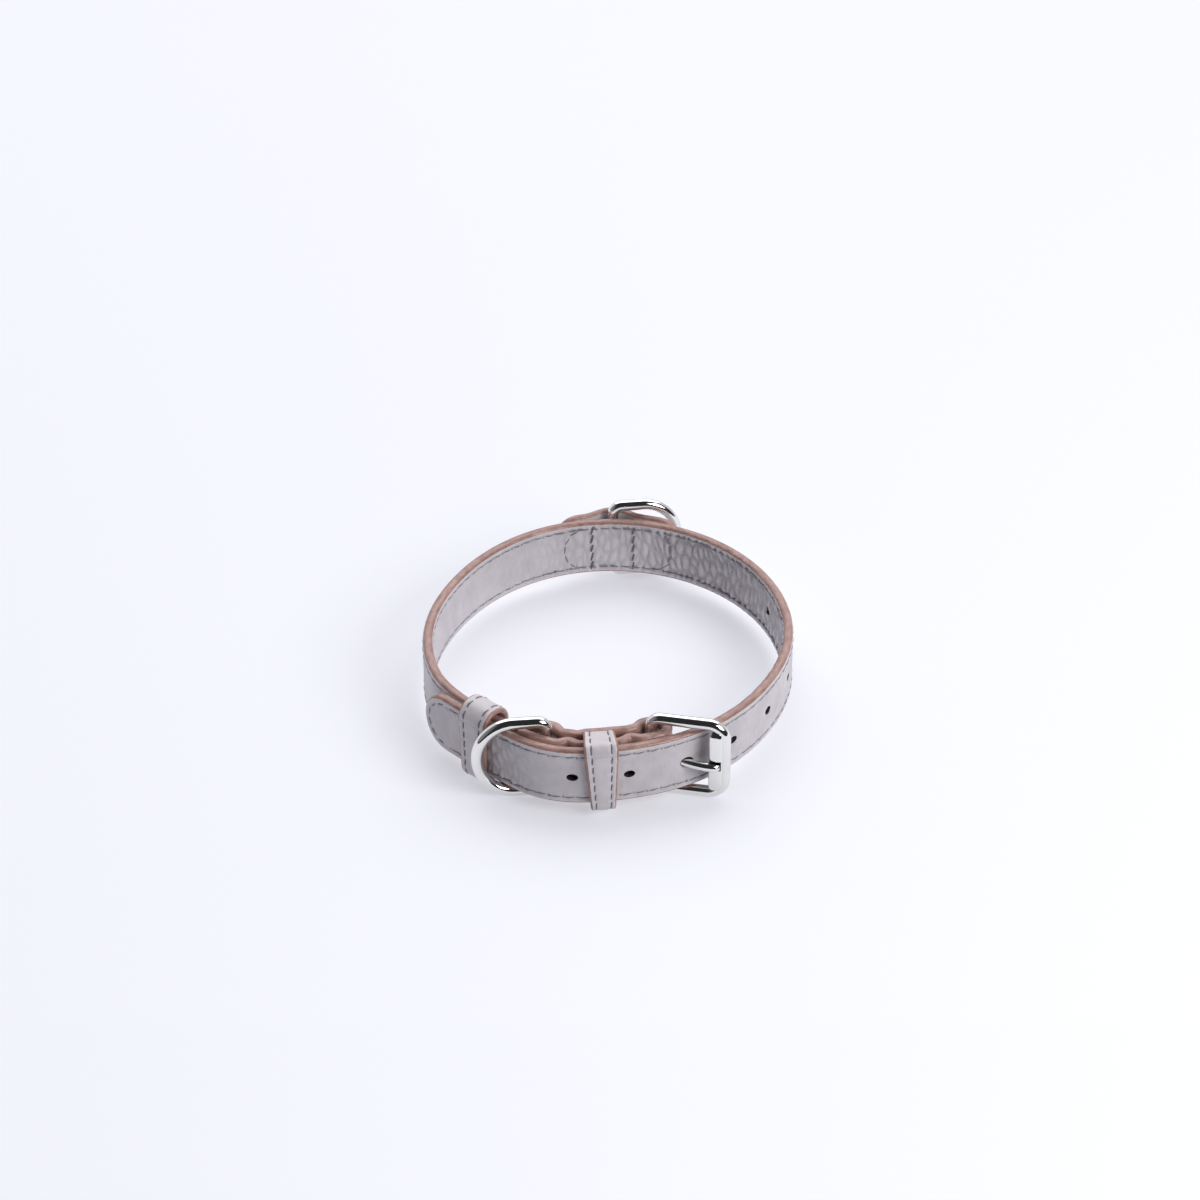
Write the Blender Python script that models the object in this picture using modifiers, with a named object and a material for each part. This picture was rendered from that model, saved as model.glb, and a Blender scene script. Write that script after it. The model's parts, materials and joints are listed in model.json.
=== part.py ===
"""Small leather dog collar, buckled, standing on its buckle and its two D-rings.

One long strap goes round from the tip at the front left, under the buckle, round the neck,
back along the front as the inner layer, and folds round the buckle's heel bar.
Plan views are worked out in X and Y about the middle of the neck; +Z is up.
"""
import math

import bmesh
import bpy
import numpy as np
from mathutils import Matrix

MM = 0.001

# Leather strap
STRAP_WIDTH = 16.0 * MM
STRAP_THICKNESS = 2.6 * MM
EDGE_ROUNDING = 0.8 * MM
TIP_LENGTH = 8.0 * MM
LOOP_RADIUS = 46.5 * MM
LAYER_GAP = 0.3 * MM

# Buckle holes, counted from the strap's tip; those on the tip's side of the prong are closer
HOLE_COUNT = 8
HOLE_PITCH = 15.2 * MM
TIP_HOLE_PITCH = 13.7 * MM
HOLE_LENGTH = 2.8 * MM
HOLE_WIDTH = 2.0 * MM
PRONG_HOLE = 2

# Metal: buckle, prong and D-rings
WIRE_DIAMETER = 2.9 * MM
FITTING_PLAY = 1.3 * MM
STRAP_REST = 0.5 * MM
D_RING_DEPTH = 17.2 * MM
D_RING_BOW_DEPTH = 9.2 * MM
D_RING_CORNER = 2.4 * MM
BUCKLE_LENGTH = 18.4 * MM
BUCKLE_HEEL_CORNER = 2.4 * MM
BUCKLE_FRONT_CORNER = 4.2 * MM
PLATE_WIDTH = 5.2 * MM
PLATE_THICKNESS = 4.2 * MM
PLATE_OVERLAP = 0.5 * MM
PLATE_ROUNDING = 1.5 * MM
PRONG_DIAMETER = 1.9 * MM
PRONG_LENGTH = 17.6 * MM
PRONG_TILT = 6.8
PRONG_BOW = 1.1 * MM
PRONG_DROOP = 0.8 * MM
NOTCH_DROOP_SHARE = 0.85
METAL_GAP = 0.3 * MM

# Keepers and the patch that holds the back ring
KEEPER_THICKNESS = 1.5 * MM
KEEPER_WIDTH = 8.0 * MM
KEEPER_HANG = 0.3 * MM
KEEPER_CORNER = 2.3 * MM
KEEPER_INNER_CORNER = 0.8 * MM
PATCH_THICKNESS = 2.0 * MM
PATCH_LENGTH = 34.0 * MM
PATCH_SHIFT = -1.5 * MM
PATCH_END = 7.0 * MM
PATCH_SEAM_SPACING = 11.4 * MM
PATCH_SEAM_LIFT = 0.9 * MM

# Places along the front, measured on the outer layer from the middle of the front keeper
FRONT_KEEPER_ANGLE = -91.8
HEEL_BAR_PLACE = 13.9 * MM
RIGHT_SEAM_PLACE = 7.4 * MM
LEFT_SEAM_PLACE = -9.3 * MM
FRONT_RING_PLACE = -17.1 * MM
RETURN_END_PLACE = -24.4 * MM
SIDE_KEEPER_PLACE = -34.5 * MM
SEAM_DIP = 1.2 * MM
SEAM_DIP_REACH = 3.2 * MM
FOLD_SLACK = 1.2 * MM
SLOT_WIDTH = 3.0 * MM
SLOT_REACH = 4.4 * MM

# Directions that the metal points in, seen from above, in degrees from +X
FRONT_RING_HEADING = 186.0
BACK_RING_ANGLE = 89.2
BACK_RING_HEADING = 7.0
BUCKLE_HEADING = -11.4

# Plan of the strap's middle line: from the tip once round to the left side.
# The share is of LOOP_RADIUS.
LOOP_SECTIONS = (
    # angle_deg, radius_share
    (-150.0, 1.140),
    (-136.0, 1.116),
    (-121.0, 1.141),
    (-106.0, 1.187),
    (-90.0, 1.150),
    (-74.0, 1.105),
    (-55.0, 1.053),
    (-35.0, 1.002),
    (-10.0, 0.975),
    (15.0, 0.970),
    (40.0, 0.990),
    (65.0, 1.022),
    (90.0, 1.036),
    (115.0, 1.016),
    (135.0, 0.983),
    (155.0, 0.966),
    (180.0, 0.993),
    (205.0, 1.044),
)
TIP_ANGLE = -149.5
STEP = 0.25 * MM

# Worked out from the sizes above
LAYER = STRAP_THICKNESS + LAYER_GAP
FACET_TURN = math.radians(22.5)
FITTING_INNER_HEIGHT = STRAP_WIDTH + FITTING_PLAY
FITTING_HALF = 0.5 * (FITTING_INNER_HEIGHT + WIRE_DIAMETER)
FITTING_MIDDLE = FITTING_HALF + 0.5 * WIRE_DIAMETER * math.cos(FACET_TURN)
FITTING_RISE = 0.5 * FITTING_PLAY - STRAP_REST
STRAP_MIDDLE = FITTING_MIDDLE - FITTING_RISE
PLATE_HEIGHT = FITTING_INNER_HEIGHT + 2.0 * PLATE_OVERLAP
BAR_LIFT = WIRE_DIAMETER + METAL_GAP
KEEPER_LIFT = KEEPER_THICKNESS + LAYER_GAP
BAR_OFFSET = LAYER + 0.5 * (LAYER + BAR_LIFT)
PRONG_HEADING = BUCKLE_HEADING - PRONG_TILT
BOW_PEAK = 4.0 / 27.0
CUT_SPACING = 4.0 * MM
CUT_TURN = math.radians(8.0)


def linear_rgb(hex_colour):
    """Turn an sRGB hex colour into Blender's linear values."""
    channels = [int(hex_colour[i:i + 2], 16) / 255 for i in (0, 2, 4)]
    return [c / 12.92 if c <= 0.04045 else ((c + 0.055) / 1.055) ** 2.4 for c in channels]


def material(name, hex_colour, roughness, metallic):
    """Make one Principled material."""
    result = bpy.data.materials.new(name)
    result.use_nodes = True
    shader = result.node_tree.nodes["Principled BSDF"]
    shader.inputs["Base Color"].default_value = linear_rgb(hex_colour) + [1.0]
    shader.inputs["Roughness"].default_value = roughness
    shader.inputs["Metallic"].default_value = metallic
    return result


class Route:
    """A line in plan that leather follows, read by its length from the start."""

    def __init__(self, points):
        points = np.array(points)
        steps = np.hypot(*np.diff(points, axis=0).T)
        lengths = np.concatenate([[0.0], np.cumsum(steps)])
        count = max(8, int(lengths[-1] / STEP))
        even = np.linspace(0.0, lengths[-1], count)
        self.points = np.stack([np.interp(even, lengths, points[:, i]) for i in (0, 1)], axis=1)
        slopes = np.gradient(self.points, axis=0)
        self.along = slopes / np.hypot(*slopes.T)[:, None]
        self.lengths = even
        self.length = even[-1]

    def read(self, place):
        """Give the point, the direction and the outward direction at a length."""
        point = np.array([np.interp(place, self.lengths, self.points[:, i]) for i in (0, 1)])
        along = np.array([np.interp(place, self.lengths, self.along[:, i]) for i in (0, 1)])
        along /= np.hypot(*along)
        over = max(0.0, place - self.length) + min(0.0, place)
        return point + along * over, along, np.array([along[1], -along[0]])

    def beside(self, place, offset):
        """Give the point at a length, moved outward by an offset."""
        point, _, outward = self.read(place)
        return point + outward * offset

    def place_at_angle(self, angle):
        """Find the first length where the route passes a direction from the middle."""
        bearing = np.unwrap(np.arctan2(self.points[:, 1], self.points[:, 0]))
        return float(np.interp(math.radians(angle), bearing, self.lengths))


def spline(knots, values, places):
    """Read a natural cubic spline through the knots."""
    knots = np.array(knots)
    values = np.array(values)
    count = len(knots)
    gaps = np.diff(knots)
    system = np.eye(count)
    right = np.zeros(count)
    for i in range(1, count - 1):
        system[i, i - 1:i + 2] = gaps[i - 1], 2.0 * (gaps[i - 1] + gaps[i]), gaps[i]
        rise = (values[i + 1] - values[i]) / gaps[i] - (values[i] - values[i - 1]) / gaps[i - 1]
        right[i] = 6.0 * rise
    bends = np.linalg.solve(system, right)
    index = np.clip(np.searchsorted(knots, places) - 1, 0, count - 2)
    before = places - knots[index]
    after = knots[index + 1] - places
    gap = gaps[index]
    low = values[index] / gap - bends[index] * gap / 6.0
    high = values[index + 1] / gap - bends[index + 1] * gap / 6.0
    curve = (bends[index] * after ** 3 + bends[index + 1] * before ** 3) / (6.0 * gap)
    return curve + low * after + high * before


def bridge(start, leave, end, arrive):
    """Give points on a smooth curve between two points with given directions."""
    reach = np.hypot(*(end - start))
    points = []
    for u in np.linspace(0.0, 1.0, 40)[1:-1]:
        weights = (2 * u**3 - 3 * u**2 + 1, u**3 - 2 * u**2 + u, 3 * u**2 - 2 * u**3, u**3 - u**2)
        point = weights[0] * start + weights[2] * end
        points.append(point + (weights[1] * leave + weights[3] * arrive) * reach)
    return points


def softened(rows, places, softness):
    """Read straight lines between rows of (place, value), with their corners softened."""
    knots = [row[0] for row in rows]
    values = [row[1] for row in rows]
    spread = np.linspace(-2.5, 2.5, 21)
    weights = np.exp(-0.5 * spread ** 2)
    shifted = [np.interp(places + softness * s, knots, values) for s in spread]
    return np.tensordot(weights / weights.sum(), np.array(shifted), axes=1)


def dip(places):
    """Depth by which the seams draw the folded layer inward from the outer one."""
    depth = np.zeros_like(places)
    for seam in (LEFT_SEAM_PLACE, RIGHT_SEAM_PLACE):
        near = np.clip(np.abs(places - seam) / SEAM_DIP_REACH, 0.0, 1.0)
        depth += SEAM_DIP * 0.5 * (1.0 + np.cos(math.pi * near))
    return depth


def outer_layer():
    """Route of the strap from its tip once round to the left side."""
    angles = np.arange(TIP_ANGLE, LOOP_SECTIONS[-1][0], 0.5)
    shares = spline([row[0] for row in LOOP_SECTIONS], [row[1] for row in LOOP_SECTIONS], angles)
    turns = np.radians(angles)
    radii = LOOP_RADIUS * shares
    return Route(np.stack([radii * np.cos(turns), radii * np.sin(turns)], axis=1))


def inner_offsets(places):
    """How far the inner layer's middle lies inward of the outer layer's, at places."""
    softness = 0.25 * STRAP_THICKNESS
    bar_top = 2.0 * LAYER + BAR_LIFT + 0.05 * STRAP_THICKNESS
    keeper_top = 2.0 * LAYER + KEEPER_LIFT
    crown = 0.55 * WIRE_DIAMETER
    shoulder = 0.5 * KEEPER_WIDTH + 2.0 * LAYER_GAP
    rows = (
        (SIDE_KEEPER_PLACE - KEEPER_WIDTH, LAYER),
        (SIDE_KEEPER_PLACE + 0.5 * KEEPER_WIDTH + 2.0 * softness, LAYER),
        (RETURN_END_PLACE - 2.0 * LAYER_GAP, 2.0 * LAYER + LAYER_GAP),
        (FRONT_RING_PLACE - crown, bar_top),
        (FRONT_RING_PLACE + crown, bar_top),
        (LEFT_SEAM_PLACE, 2.0 * LAYER),
        (-shoulder, keeper_top),
        (shoulder, keeper_top),
        (RIGHT_SEAM_PLACE, 2.0 * LAYER),
        (HEEL_BAR_PLACE - crown, bar_top),
        (HEEL_BAR_PLACE + FOLD_SLACK, 2.0 * LAYER + BAR_LIFT),
    )
    return softened(rows, places, softness) + dip(places)


def strap_route(outer, keeper_place):
    """Route of the whole strap: outer layer, neck, inner layer, fold and return layer."""
    fold_place = HEEL_BAR_PLACE + FOLD_SLACK
    inner_places = np.arange(SIDE_KEEPER_PLACE - 0.5 * KEEPER_WIDTH, fold_place, STEP)
    inner = []
    for place, offset in zip(inner_places, inner_offsets(inner_places)):
        inner.append(outer.beside(keeper_place + place, -offset))
    arrive = (inner[1] - inner[0]) / np.hypot(*(inner[1] - inner[0]))
    link = bridge(outer.points[-1], outer.along[-1], inner[0], arrive)
    fold_end = outer.beside(keeper_place + fold_place, -LAYER)
    centre = outer.beside(keeper_place + fold_place, -BAR_OFFSET)
    spoke = centre - fold_end
    fold = []
    for turn in np.linspace(0.0, math.pi, 33)[:-1]:
        spin = np.array([[math.cos(turn), math.sin(turn)], [-math.sin(turn), math.cos(turn)]])
        fold.append(centre + spin @ spoke)
    return_places = np.arange(fold_place, RETURN_END_PLACE, -STEP)
    back = []
    for place, depth in zip(return_places, dip(return_places)):
        back.append(outer.beside(keeper_place + place, -LAYER - depth))
    before_fold = [*outer.points, *link, *inner]
    return Route([*before_fold, *fold, *back]), Route(before_fold).length


def prong_point(share):
    """Give a point on the prong's middle line, in its own frame, at a share of its length."""
    bow = share ** 2 * (1.0 - share) / BOW_PEAK
    return share * PRONG_LENGTH, -PRONG_BOW * bow, -PRONG_DROOP * share ** 2


def crossing(route, near):
    """Find where the prong passes through a route: the place, the heading and the drop."""
    turn = math.radians(PRONG_HEADING)
    shares = np.linspace(0.2, 0.9, 281)
    best = (1.0, 0.0, 0.0)
    for share in shares:
        x, y, _ = prong_point(share)
        spot = heel_bar + np.array([x * math.cos(turn) - y * math.sin(turn),
                                    x * math.sin(turn) + y * math.cos(turn)])
        reach = np.hypot(*(route.points - spot).T)
        index = int(np.argmin(np.where(route.lengths > near, reach, 1.0)))
        best = min(best, (float(reach[index]), float(route.lengths[index]), float(share)))
    x, y, z = prong_point(best[2])
    ahead = prong_point(best[2] + 0.01)
    return best[1], turn + math.atan2(ahead[1] - y, ahead[0] - x), z


def patch_route(strap, middle):
    """Route of the ring patch, which rises over the back ring's bar."""
    half = 0.5 * PATCH_LENGTH
    seam = 0.5 * PATCH_SEAM_SPACING
    crown = 0.55 * WIRE_DIAMETER
    flat = 0.5 * STRAP_THICKNESS + LAYER_GAP + 0.5 * PATCH_THICKNESS
    rows = (
        (PATCH_SHIFT - half, flat),
        (-seam - 1.4 * crown, flat + 0.5 * PATCH_SEAM_LIFT),
        (-seam, flat + PATCH_SEAM_LIFT),
        (-crown, flat + BAR_LIFT),
        (crown, flat + BAR_LIFT),
        (seam, flat + PATCH_SEAM_LIFT),
        (seam + 1.4 * crown, flat + 0.5 * PATCH_SEAM_LIFT),
        (PATCH_SHIFT + half, flat),
    )
    places = np.arange(PATCH_SHIFT - half, PATCH_SHIFT + half + STEP, STEP)
    offsets = softened(rows, places, 0.25 * PATCH_THICKNESS)
    return Route([strap.beside(middle + p, o) for p, o in zip(places, offsets)])


def make_object(name, mesh, finish):
    """Put a mesh into the collar's collection as a named object."""
    mesh.name = name
    mesh.materials.clear()
    mesh.materials.append(finish)
    mesh.shade_smooth()
    mesh.set_sharp_from_angle(angle=math.radians(35))
    result = bpy.data.objects.new(name, mesh)
    collar.objects.link(result)
    result.parent = stand
    return result


def evaluated_mesh(source):
    """Give the mesh that an object shows, with loose caps welded."""
    bpy.context.view_layer.update()
    graph = bpy.context.evaluated_depsgraph_get()
    mesh = bpy.data.meshes.new_from_object(source.evaluated_get(graph))
    shape = bmesh.new()
    shape.from_mesh(mesh)
    bmesh.ops.remove_doubles(shape, verts=shape.verts, dist=0.00001)
    bmesh.ops.recalc_face_normals(shape, faces=shape.faces)
    shape.to_mesh(mesh)
    shape.free()
    return mesh


def curve_mesh(name, outlines, dimensions, **settings):
    """Make a mesh from closed or open polylines drawn as one curve object."""
    curve = bpy.data.curves.new(name, "CURVE")
    curve.dimensions = dimensions
    for key, value in settings.items():
        setattr(curve, key, value)
    for points, cyclic in outlines:
        line = curve.splines.new("POLY")
        line.points.add(len(points) - 1)
        for target, point in zip(line.points, points):
            target.co = (*point, 1.0)
            target.tilt = FACET_TURN if dimensions == "3D" else 0.0
        line.use_cyclic_u = cyclic
    guide = bpy.data.objects.new(name, curve)
    guides.objects.link(guide)
    mesh = evaluated_mesh(guide)
    bpy.data.objects.remove(guide)
    return mesh


def cutter(name, mesh):
    """Put a mesh among the cutters."""
    result = bpy.data.objects.new(name, mesh)
    result.hide_render = True
    result.display_type = "WIRE"
    guides.objects.link(result)
    return result


def combined(mesh, tools, operation):
    """Cut or join a mesh with tools and give the result."""
    body = bpy.data.objects.new("body", mesh)
    guides.objects.link(body)
    for tool in tools:
        step = body.modifiers.new(tool.name, "BOOLEAN")
        step.operation = operation
        step.solver = "EXACT"
        step.object = tool
    result = evaluated_mesh(body)
    bpy.data.objects.remove(body)
    return result


def cylinder(radius_x, radius_y, height, sides, matrix):
    """Make a round or oval cylinder along Z, then place it."""
    shape = bmesh.new()
    bmesh.ops.create_cone(shape, cap_ends=True, segments=sides, radius1=1.0, radius2=1.0,
                          depth=height)
    bmesh.ops.scale(shape, vec=(radius_x, radius_y, 1.0), verts=shape.verts)
    bmesh.ops.transform(shape, matrix=matrix, verts=shape.verts)
    mesh = bpy.data.meshes.new("cylinder")
    shape.to_mesh(mesh)
    shape.free()
    return mesh


def box(size, matrix):
    """Make a box about the origin, then place it."""
    shape = bmesh.new()
    bmesh.ops.create_cube(shape, size=1.0)
    bmesh.ops.scale(shape, vec=size, verts=shape.verts)
    bmesh.ops.transform(shape, matrix=matrix, verts=shape.verts)
    mesh = bpy.data.meshes.new("box")
    shape.to_mesh(mesh)
    shape.free()
    return mesh


def stations(route, start, end):
    """Choose places for cross cuts: close in tight bends and wide in gentle ones."""
    places = []
    reach = 0.0
    turned = 0.0
    place = start
    _, before, _ = route.read(start)
    while place + STEP < end:
        place += STEP
        reach += STEP
        _, along, _ = route.read(place)
        turned += math.acos(min(1.0, float(before @ along)))
        before = along
        if reach > CUT_SPACING or turned > CUT_TURN:
            places.append(place)
            reach = 0.0
            turned = 0.0
    return places


def bent(mesh, route, start, end):
    """Cross-cut a flat pattern (X along, Y up, Z outward) and lay it along a route."""
    shape = bmesh.new()
    shape.from_mesh(mesh)
    bmesh.ops.dissolve_limit(shape, angle_limit=0.001, verts=shape.verts, edges=shape.edges)
    for place in stations(route, start, end):
        everything = [*shape.verts, *shape.edges, *shape.faces]
        bmesh.ops.bisect_plane(shape, geom=everything, plane_co=(place, 0, 0), plane_no=(1, 0, 0),
                               dist=0.000002)
    bmesh.ops.triangulate(shape, faces=shape.faces)
    for vertex in shape.verts:
        point = route.beside(vertex.co.x, vertex.co.z)
        vertex.co = (point[0], point[1], STRAP_MIDDLE + vertex.co.y)
    shape.to_mesh(mesh)
    shape.free()
    return mesh


def rounded_end(reach, half_width, count):
    """Give the points of an elliptical end that starts at X = 0 and opens towards +X."""
    turns = [math.pi * (0.5 + i / count) for i in range(count + 1)]
    return [(reach * (1.0 + math.cos(t)), half_width * math.sin(t)) for t in turns]


def leather_strip(name, outline, thickness):
    """Make a flat strip of leather with rounded edges, as thick as stated."""
    rim = min(EDGE_ROUNDING, 0.45 * thickness)
    return curve_mesh(name, [([(x, y, 0.0) for x, y in outline], True)], "2D", fill_mode="BOTH",
                      extrude=0.5 * thickness - rim, bevel_depth=rim, bevel_resolution=1, offset=-rim)


def rounded_loop(low_x, high_x, low_y, high_y, radius, count=4):
    """Give the points of a rectangle with round corners."""
    points = []
    corners = ((high_x - radius, high_y - radius), (low_x + radius, high_y - radius),
               (low_x + radius, low_y + radius), (high_x - radius, low_y + radius))
    for quarter, (x, y) in enumerate(corners):
        for i in range(count + 1):
            turn = 0.5 * math.pi * (quarter + i / count)
            points.append((x + radius * math.cos(turn), y + radius * math.sin(turn), 0.0))
    return points


def make_strap(finish):
    """Cut the strap flat, punch its holes and slot, and bend it round."""
    length = strap.length
    half = 0.5 * STRAP_WIDTH
    outline = rounded_end(TIP_LENGTH, half, 12) + [(length, -half), (length, half)]
    mesh = leather_strip("strap", outline, STRAP_THICKNESS)
    tools = []
    through = 3.0 * STRAP_THICKNESS
    for number in range(HOLE_COUNT):
        if number == PRONG_HOLE:
            continue
        steps = number - PRONG_HOLE
        pitch = HOLE_PITCH if steps > 0 else TIP_HOLE_PITCH
        spot = Matrix.Translation((prong_place + steps * pitch, 0, 0))
        punch = cylinder(0.5 * HOLE_LENGTH, 0.5 * HOLE_WIDTH, through, 12, spot)
        tools.append(cutter(f"hole_punch_{number + 1}", punch))
    _, along, _ = strap.read(prong_place)
    slant = math.atan2(along[1], along[0]) - prong_turn
    spot = Matrix.Translation((prong_place, prong_drop, 0))
    lean = spot @ Matrix.Rotation(0.5 * math.pi - slant, 4, "Y")
    reach = 0.5 * PRONG_DIAMETER + 1.5 * METAL_GAP
    tools.append(cutter("prong_punch", cylinder(reach, reach, 2.0 * through, 12, lean)))
    slot_start = fold_start - FOLD_SLACK - SLOT_REACH
    slot_end = fold_start + math.pi * 0.5 * (LAYER + BAR_LIFT) + FOLD_SLACK + SLOT_REACH
    middle = Matrix.Translation((0.5 * (slot_start + slot_end), 0, 0))
    tools.append(cutter("slot_punch", box((slot_end - slot_start, SLOT_WIDTH, through), middle)))
    mesh = combined(mesh, tools, "DIFFERENCE")
    return make_object("strap", bent(mesh, strap, 0.0, length), finish)


def make_patch(finish):
    """Make the stitched patch that holds the back ring's bar."""
    half = 0.5 * STRAP_WIDTH
    route = patch_route(strap, back_ring_place)
    end = rounded_end(PATCH_END, half, 10)
    outline = end + [(route.length - x, -y) for x, y in end]
    mesh = leather_strip("ring_patch", outline, PATCH_THICKNESS)
    return make_object("ring_patch", bent(mesh, route, 0.0, route.length), finish)


def make_keeper(name, place, finish):
    """Make a leather loop round two layers of the strap."""
    inside = -(LAYER + 0.5 * STRAP_THICKNESS + LAYER_GAP)
    outside = 0.5 * STRAP_THICKNESS + LAYER_GAP
    top = 0.5 * STRAP_WIDTH + LAYER_GAP
    bottom = -0.5 * STRAP_WIDTH - KEEPER_HANG
    wall = KEEPER_THICKNESS
    outer_ring = rounded_loop(inside - wall, outside + wall, bottom - wall, top + wall, KEEPER_CORNER)
    inner_ring = rounded_loop(inside, outside, bottom, top, KEEPER_INNER_CORNER)
    rim = 0.25 * KEEPER_THICKNESS
    mesh = curve_mesh(name, [(outer_ring, True), (inner_ring, True)], "2D", fill_mode="BOTH",
                      extrude=0.5 * KEEPER_WIDTH - rim, bevel_depth=rim, bevel_resolution=0, offset=-rim)
    turn = Matrix(((0, 0, 1, keeper_place + place), (0, 1, 0, 0), (1, 0, 0, 0), (0, 0, 0, 1)))
    mesh.transform(turn)
    mesh.flip_normals()
    start = keeper_place + place - 0.5 * KEEPER_WIDTH
    return make_object(name, bent(mesh, outer, start, start + KEEPER_WIDTH), finish)


def arc(centre_x, centre_z, radius_x, radius_z, start, end, count):
    """Give points on an arc in the X-Z plane, with angles in degrees."""
    turns = [math.radians(start + (end - start) * i / count) for i in range(count + 1)]
    return [(centre_x + radius_x * math.cos(t), 0.0, centre_z + radius_z * math.sin(t)) for t in turns]


def wire_mesh(name, points):
    """Make a closed round wire through points."""
    return curve_mesh(name, [(points, True)], "3D", fill_mode="FULL", bevel_depth=0.5 * WIRE_DIAMETER,
                      bevel_resolution=2, twist_mode="MINIMUM")


def make_ring(name, middle, heading, finish):
    """Make a D-ring whose straight bar stands upright at its own origin."""
    corner = D_RING_CORNER
    half = FITTING_HALF
    bow_start = D_RING_DEPTH - D_RING_BOW_DEPTH
    points = arc(corner, half - corner, corner, corner, 180.0, 90.0, 4)
    points += arc(bow_start, 0.0, D_RING_BOW_DEPTH, half, 90.0, -90.0, 15)
    points += arc(corner, corner - half, corner, corner, -90.0, -180.0, 4)
    ring = make_object(name, wire_mesh(name, points), finish)
    ring.location = (middle[0], middle[1], FITTING_MIDDLE)
    ring.rotation_euler = (0.0, 0.0, math.radians(heading))
    return ring


def make_buckle(finish):
    """Make the cast buckle frame: heel bar, side bars and the wide front plate."""
    half = FITTING_HALF
    heel = BUCKLE_HEEL_CORNER
    front = BUCKLE_FRONT_CORNER
    points = arc(heel, half - heel, heel, heel, 180.0, 90.0, 4)
    points += arc(BUCKLE_LENGTH - front, half - front, front, front, 90.0, 0.0, 6)
    points += arc(BUCKLE_LENGTH - front, front - half, front, front, 0.0, -90.0, 6)
    points += arc(heel, heel - half, heel, heel, -90.0, -180.0, 4)
    mesh = wire_mesh("buckle_frame", points)
    plate_middle = BUCKLE_LENGTH + 0.5 * WIRE_DIAMETER - 0.5 * PLATE_WIDTH
    place = Matrix.Translation((plate_middle, 0, 0))
    plate = cutter("front_plate", box((PLATE_WIDTH, PLATE_THICKNESS, PLATE_HEIGHT), place))
    rounding = plate.modifiers.new("rounding", "BEVEL")
    rounding.width = PLATE_ROUNDING
    rounding.segments = 2
    mesh = combined(mesh, [plate], "UNION")
    width = PRONG_DIAMETER + 2.0 * METAL_GAP
    tilt = Matrix.Rotation(math.radians(-PRONG_TILT), 4, "Z")
    notch_end = PRONG_LENGTH + METAL_GAP
    lift = -FITTING_RISE - NOTCH_DROOP_SHARE * PRONG_DROOP
    notch_height = width + 2.0 * (1.0 - NOTCH_DROOP_SHARE) * PRONG_DROOP
    shift = Matrix.Translation((0.5 * notch_end, -0.5 * PLATE_THICKNESS, lift))
    notch = cutter("prong_notch", box((notch_end, PLATE_THICKNESS + width, notch_height), tilt @ shift))
    mesh = combined(mesh, [notch], "DIFFERENCE")
    frame = make_object("buckle_frame", mesh, finish)
    frame.location = (heel_bar[0], heel_bar[1], FITTING_MIDDLE)
    frame.rotation_euler = (0.0, 0.0, math.radians(BUCKLE_HEADING))
    return frame


def make_prong(finish):
    """Make the prong, whose eye turns on the heel bar."""
    thin = 0.5 * PRONG_DIAMETER
    eye = 0.5 * WIRE_DIAMETER + METAL_GAP + thin
    bpy.ops.mesh.primitive_torus_add(major_radius=eye, minor_radius=thin, major_segments=20,
                                     minor_segments=8)
    ring = bpy.context.active_object
    ring_mesh = evaluated_mesh(ring)
    bpy.data.objects.remove(ring)
    points = [prong_point(share) for share in np.linspace(eye / PRONG_LENGTH, 1.0, 14)]
    shank = curve_mesh("shank", [(points, False)], "3D", fill_mode="FULL", bevel_depth=thin,
                       bevel_resolution=2, use_fill_caps=True, twist_mode="MINIMUM")
    mesh = combined(ring_mesh, [cutter("prong_shank", shank)], "UNION")
    prong = make_object("buckle_prong", mesh, finish)
    prong.location = (heel_bar[0], heel_bar[1], STRAP_MIDDLE)
    prong.rotation_euler = (0.0, 0.0, math.radians(PRONG_HEADING))
    return prong


for old in list(bpy.data.objects):
    bpy.data.objects.remove(old)

collar = bpy.data.collections.new("dog_collar")
guides = bpy.data.collections.new("cutters")
bpy.context.scene.collection.children.link(collar)
bpy.context.scene.collection.children.link(guides)
stand = bpy.data.objects.new("collar_middle", None)
collar.objects.link(stand)

leather = material("pebbled_leather", "BDB8BC", 0.5, 0.0)
trim = material("keeper_leather", "BDB8BC", 0.45, 0.0)
chrome = material("chrome_plated_zinc", "DADADA", 0.08, 1.0)

outer = outer_layer()
keeper_place = outer.place_at_angle(FRONT_KEEPER_ANGLE)
strap, fold_start = strap_route(outer, keeper_place)
heel_bar = outer.beside(keeper_place + HEEL_BAR_PLACE, -BAR_OFFSET)
front_bar = outer.beside(keeper_place + FRONT_RING_PLACE, -BAR_OFFSET)
prong_place, prong_turn, prong_drop = crossing(outer, keeper_place + HEEL_BAR_PLACE)
back_ring_place = outer.place_at_angle(BACK_RING_ANGLE)
back_bar = outer.beside(back_ring_place, 0.5 * (STRAP_THICKNESS + WIRE_DIAMETER) + METAL_GAP)

make_strap(leather)
make_patch(trim)
make_keeper("front_keeper", 0.0, trim)
make_keeper("side_keeper", SIDE_KEEPER_PLACE, trim)
make_buckle(chrome)
make_prong(chrome)
make_ring("front_d_ring", front_bar, FRONT_RING_HEADING, chrome)
make_ring("back_d_ring", back_bar, BACK_RING_HEADING, chrome)

bpy.context.view_layer.update()
corners = []
for piece in collar.objects:
    if piece.type == "MESH":
        corners += [piece.matrix_world @ vertex.co for vertex in piece.data.vertices]
corners = np.array(corners)
middle = 0.5 * (corners.min(axis=0) + corners.max(axis=0))
stand.location = (-middle[0], -middle[1], 0.0)
bpy.context.view_layer.update()
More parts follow.
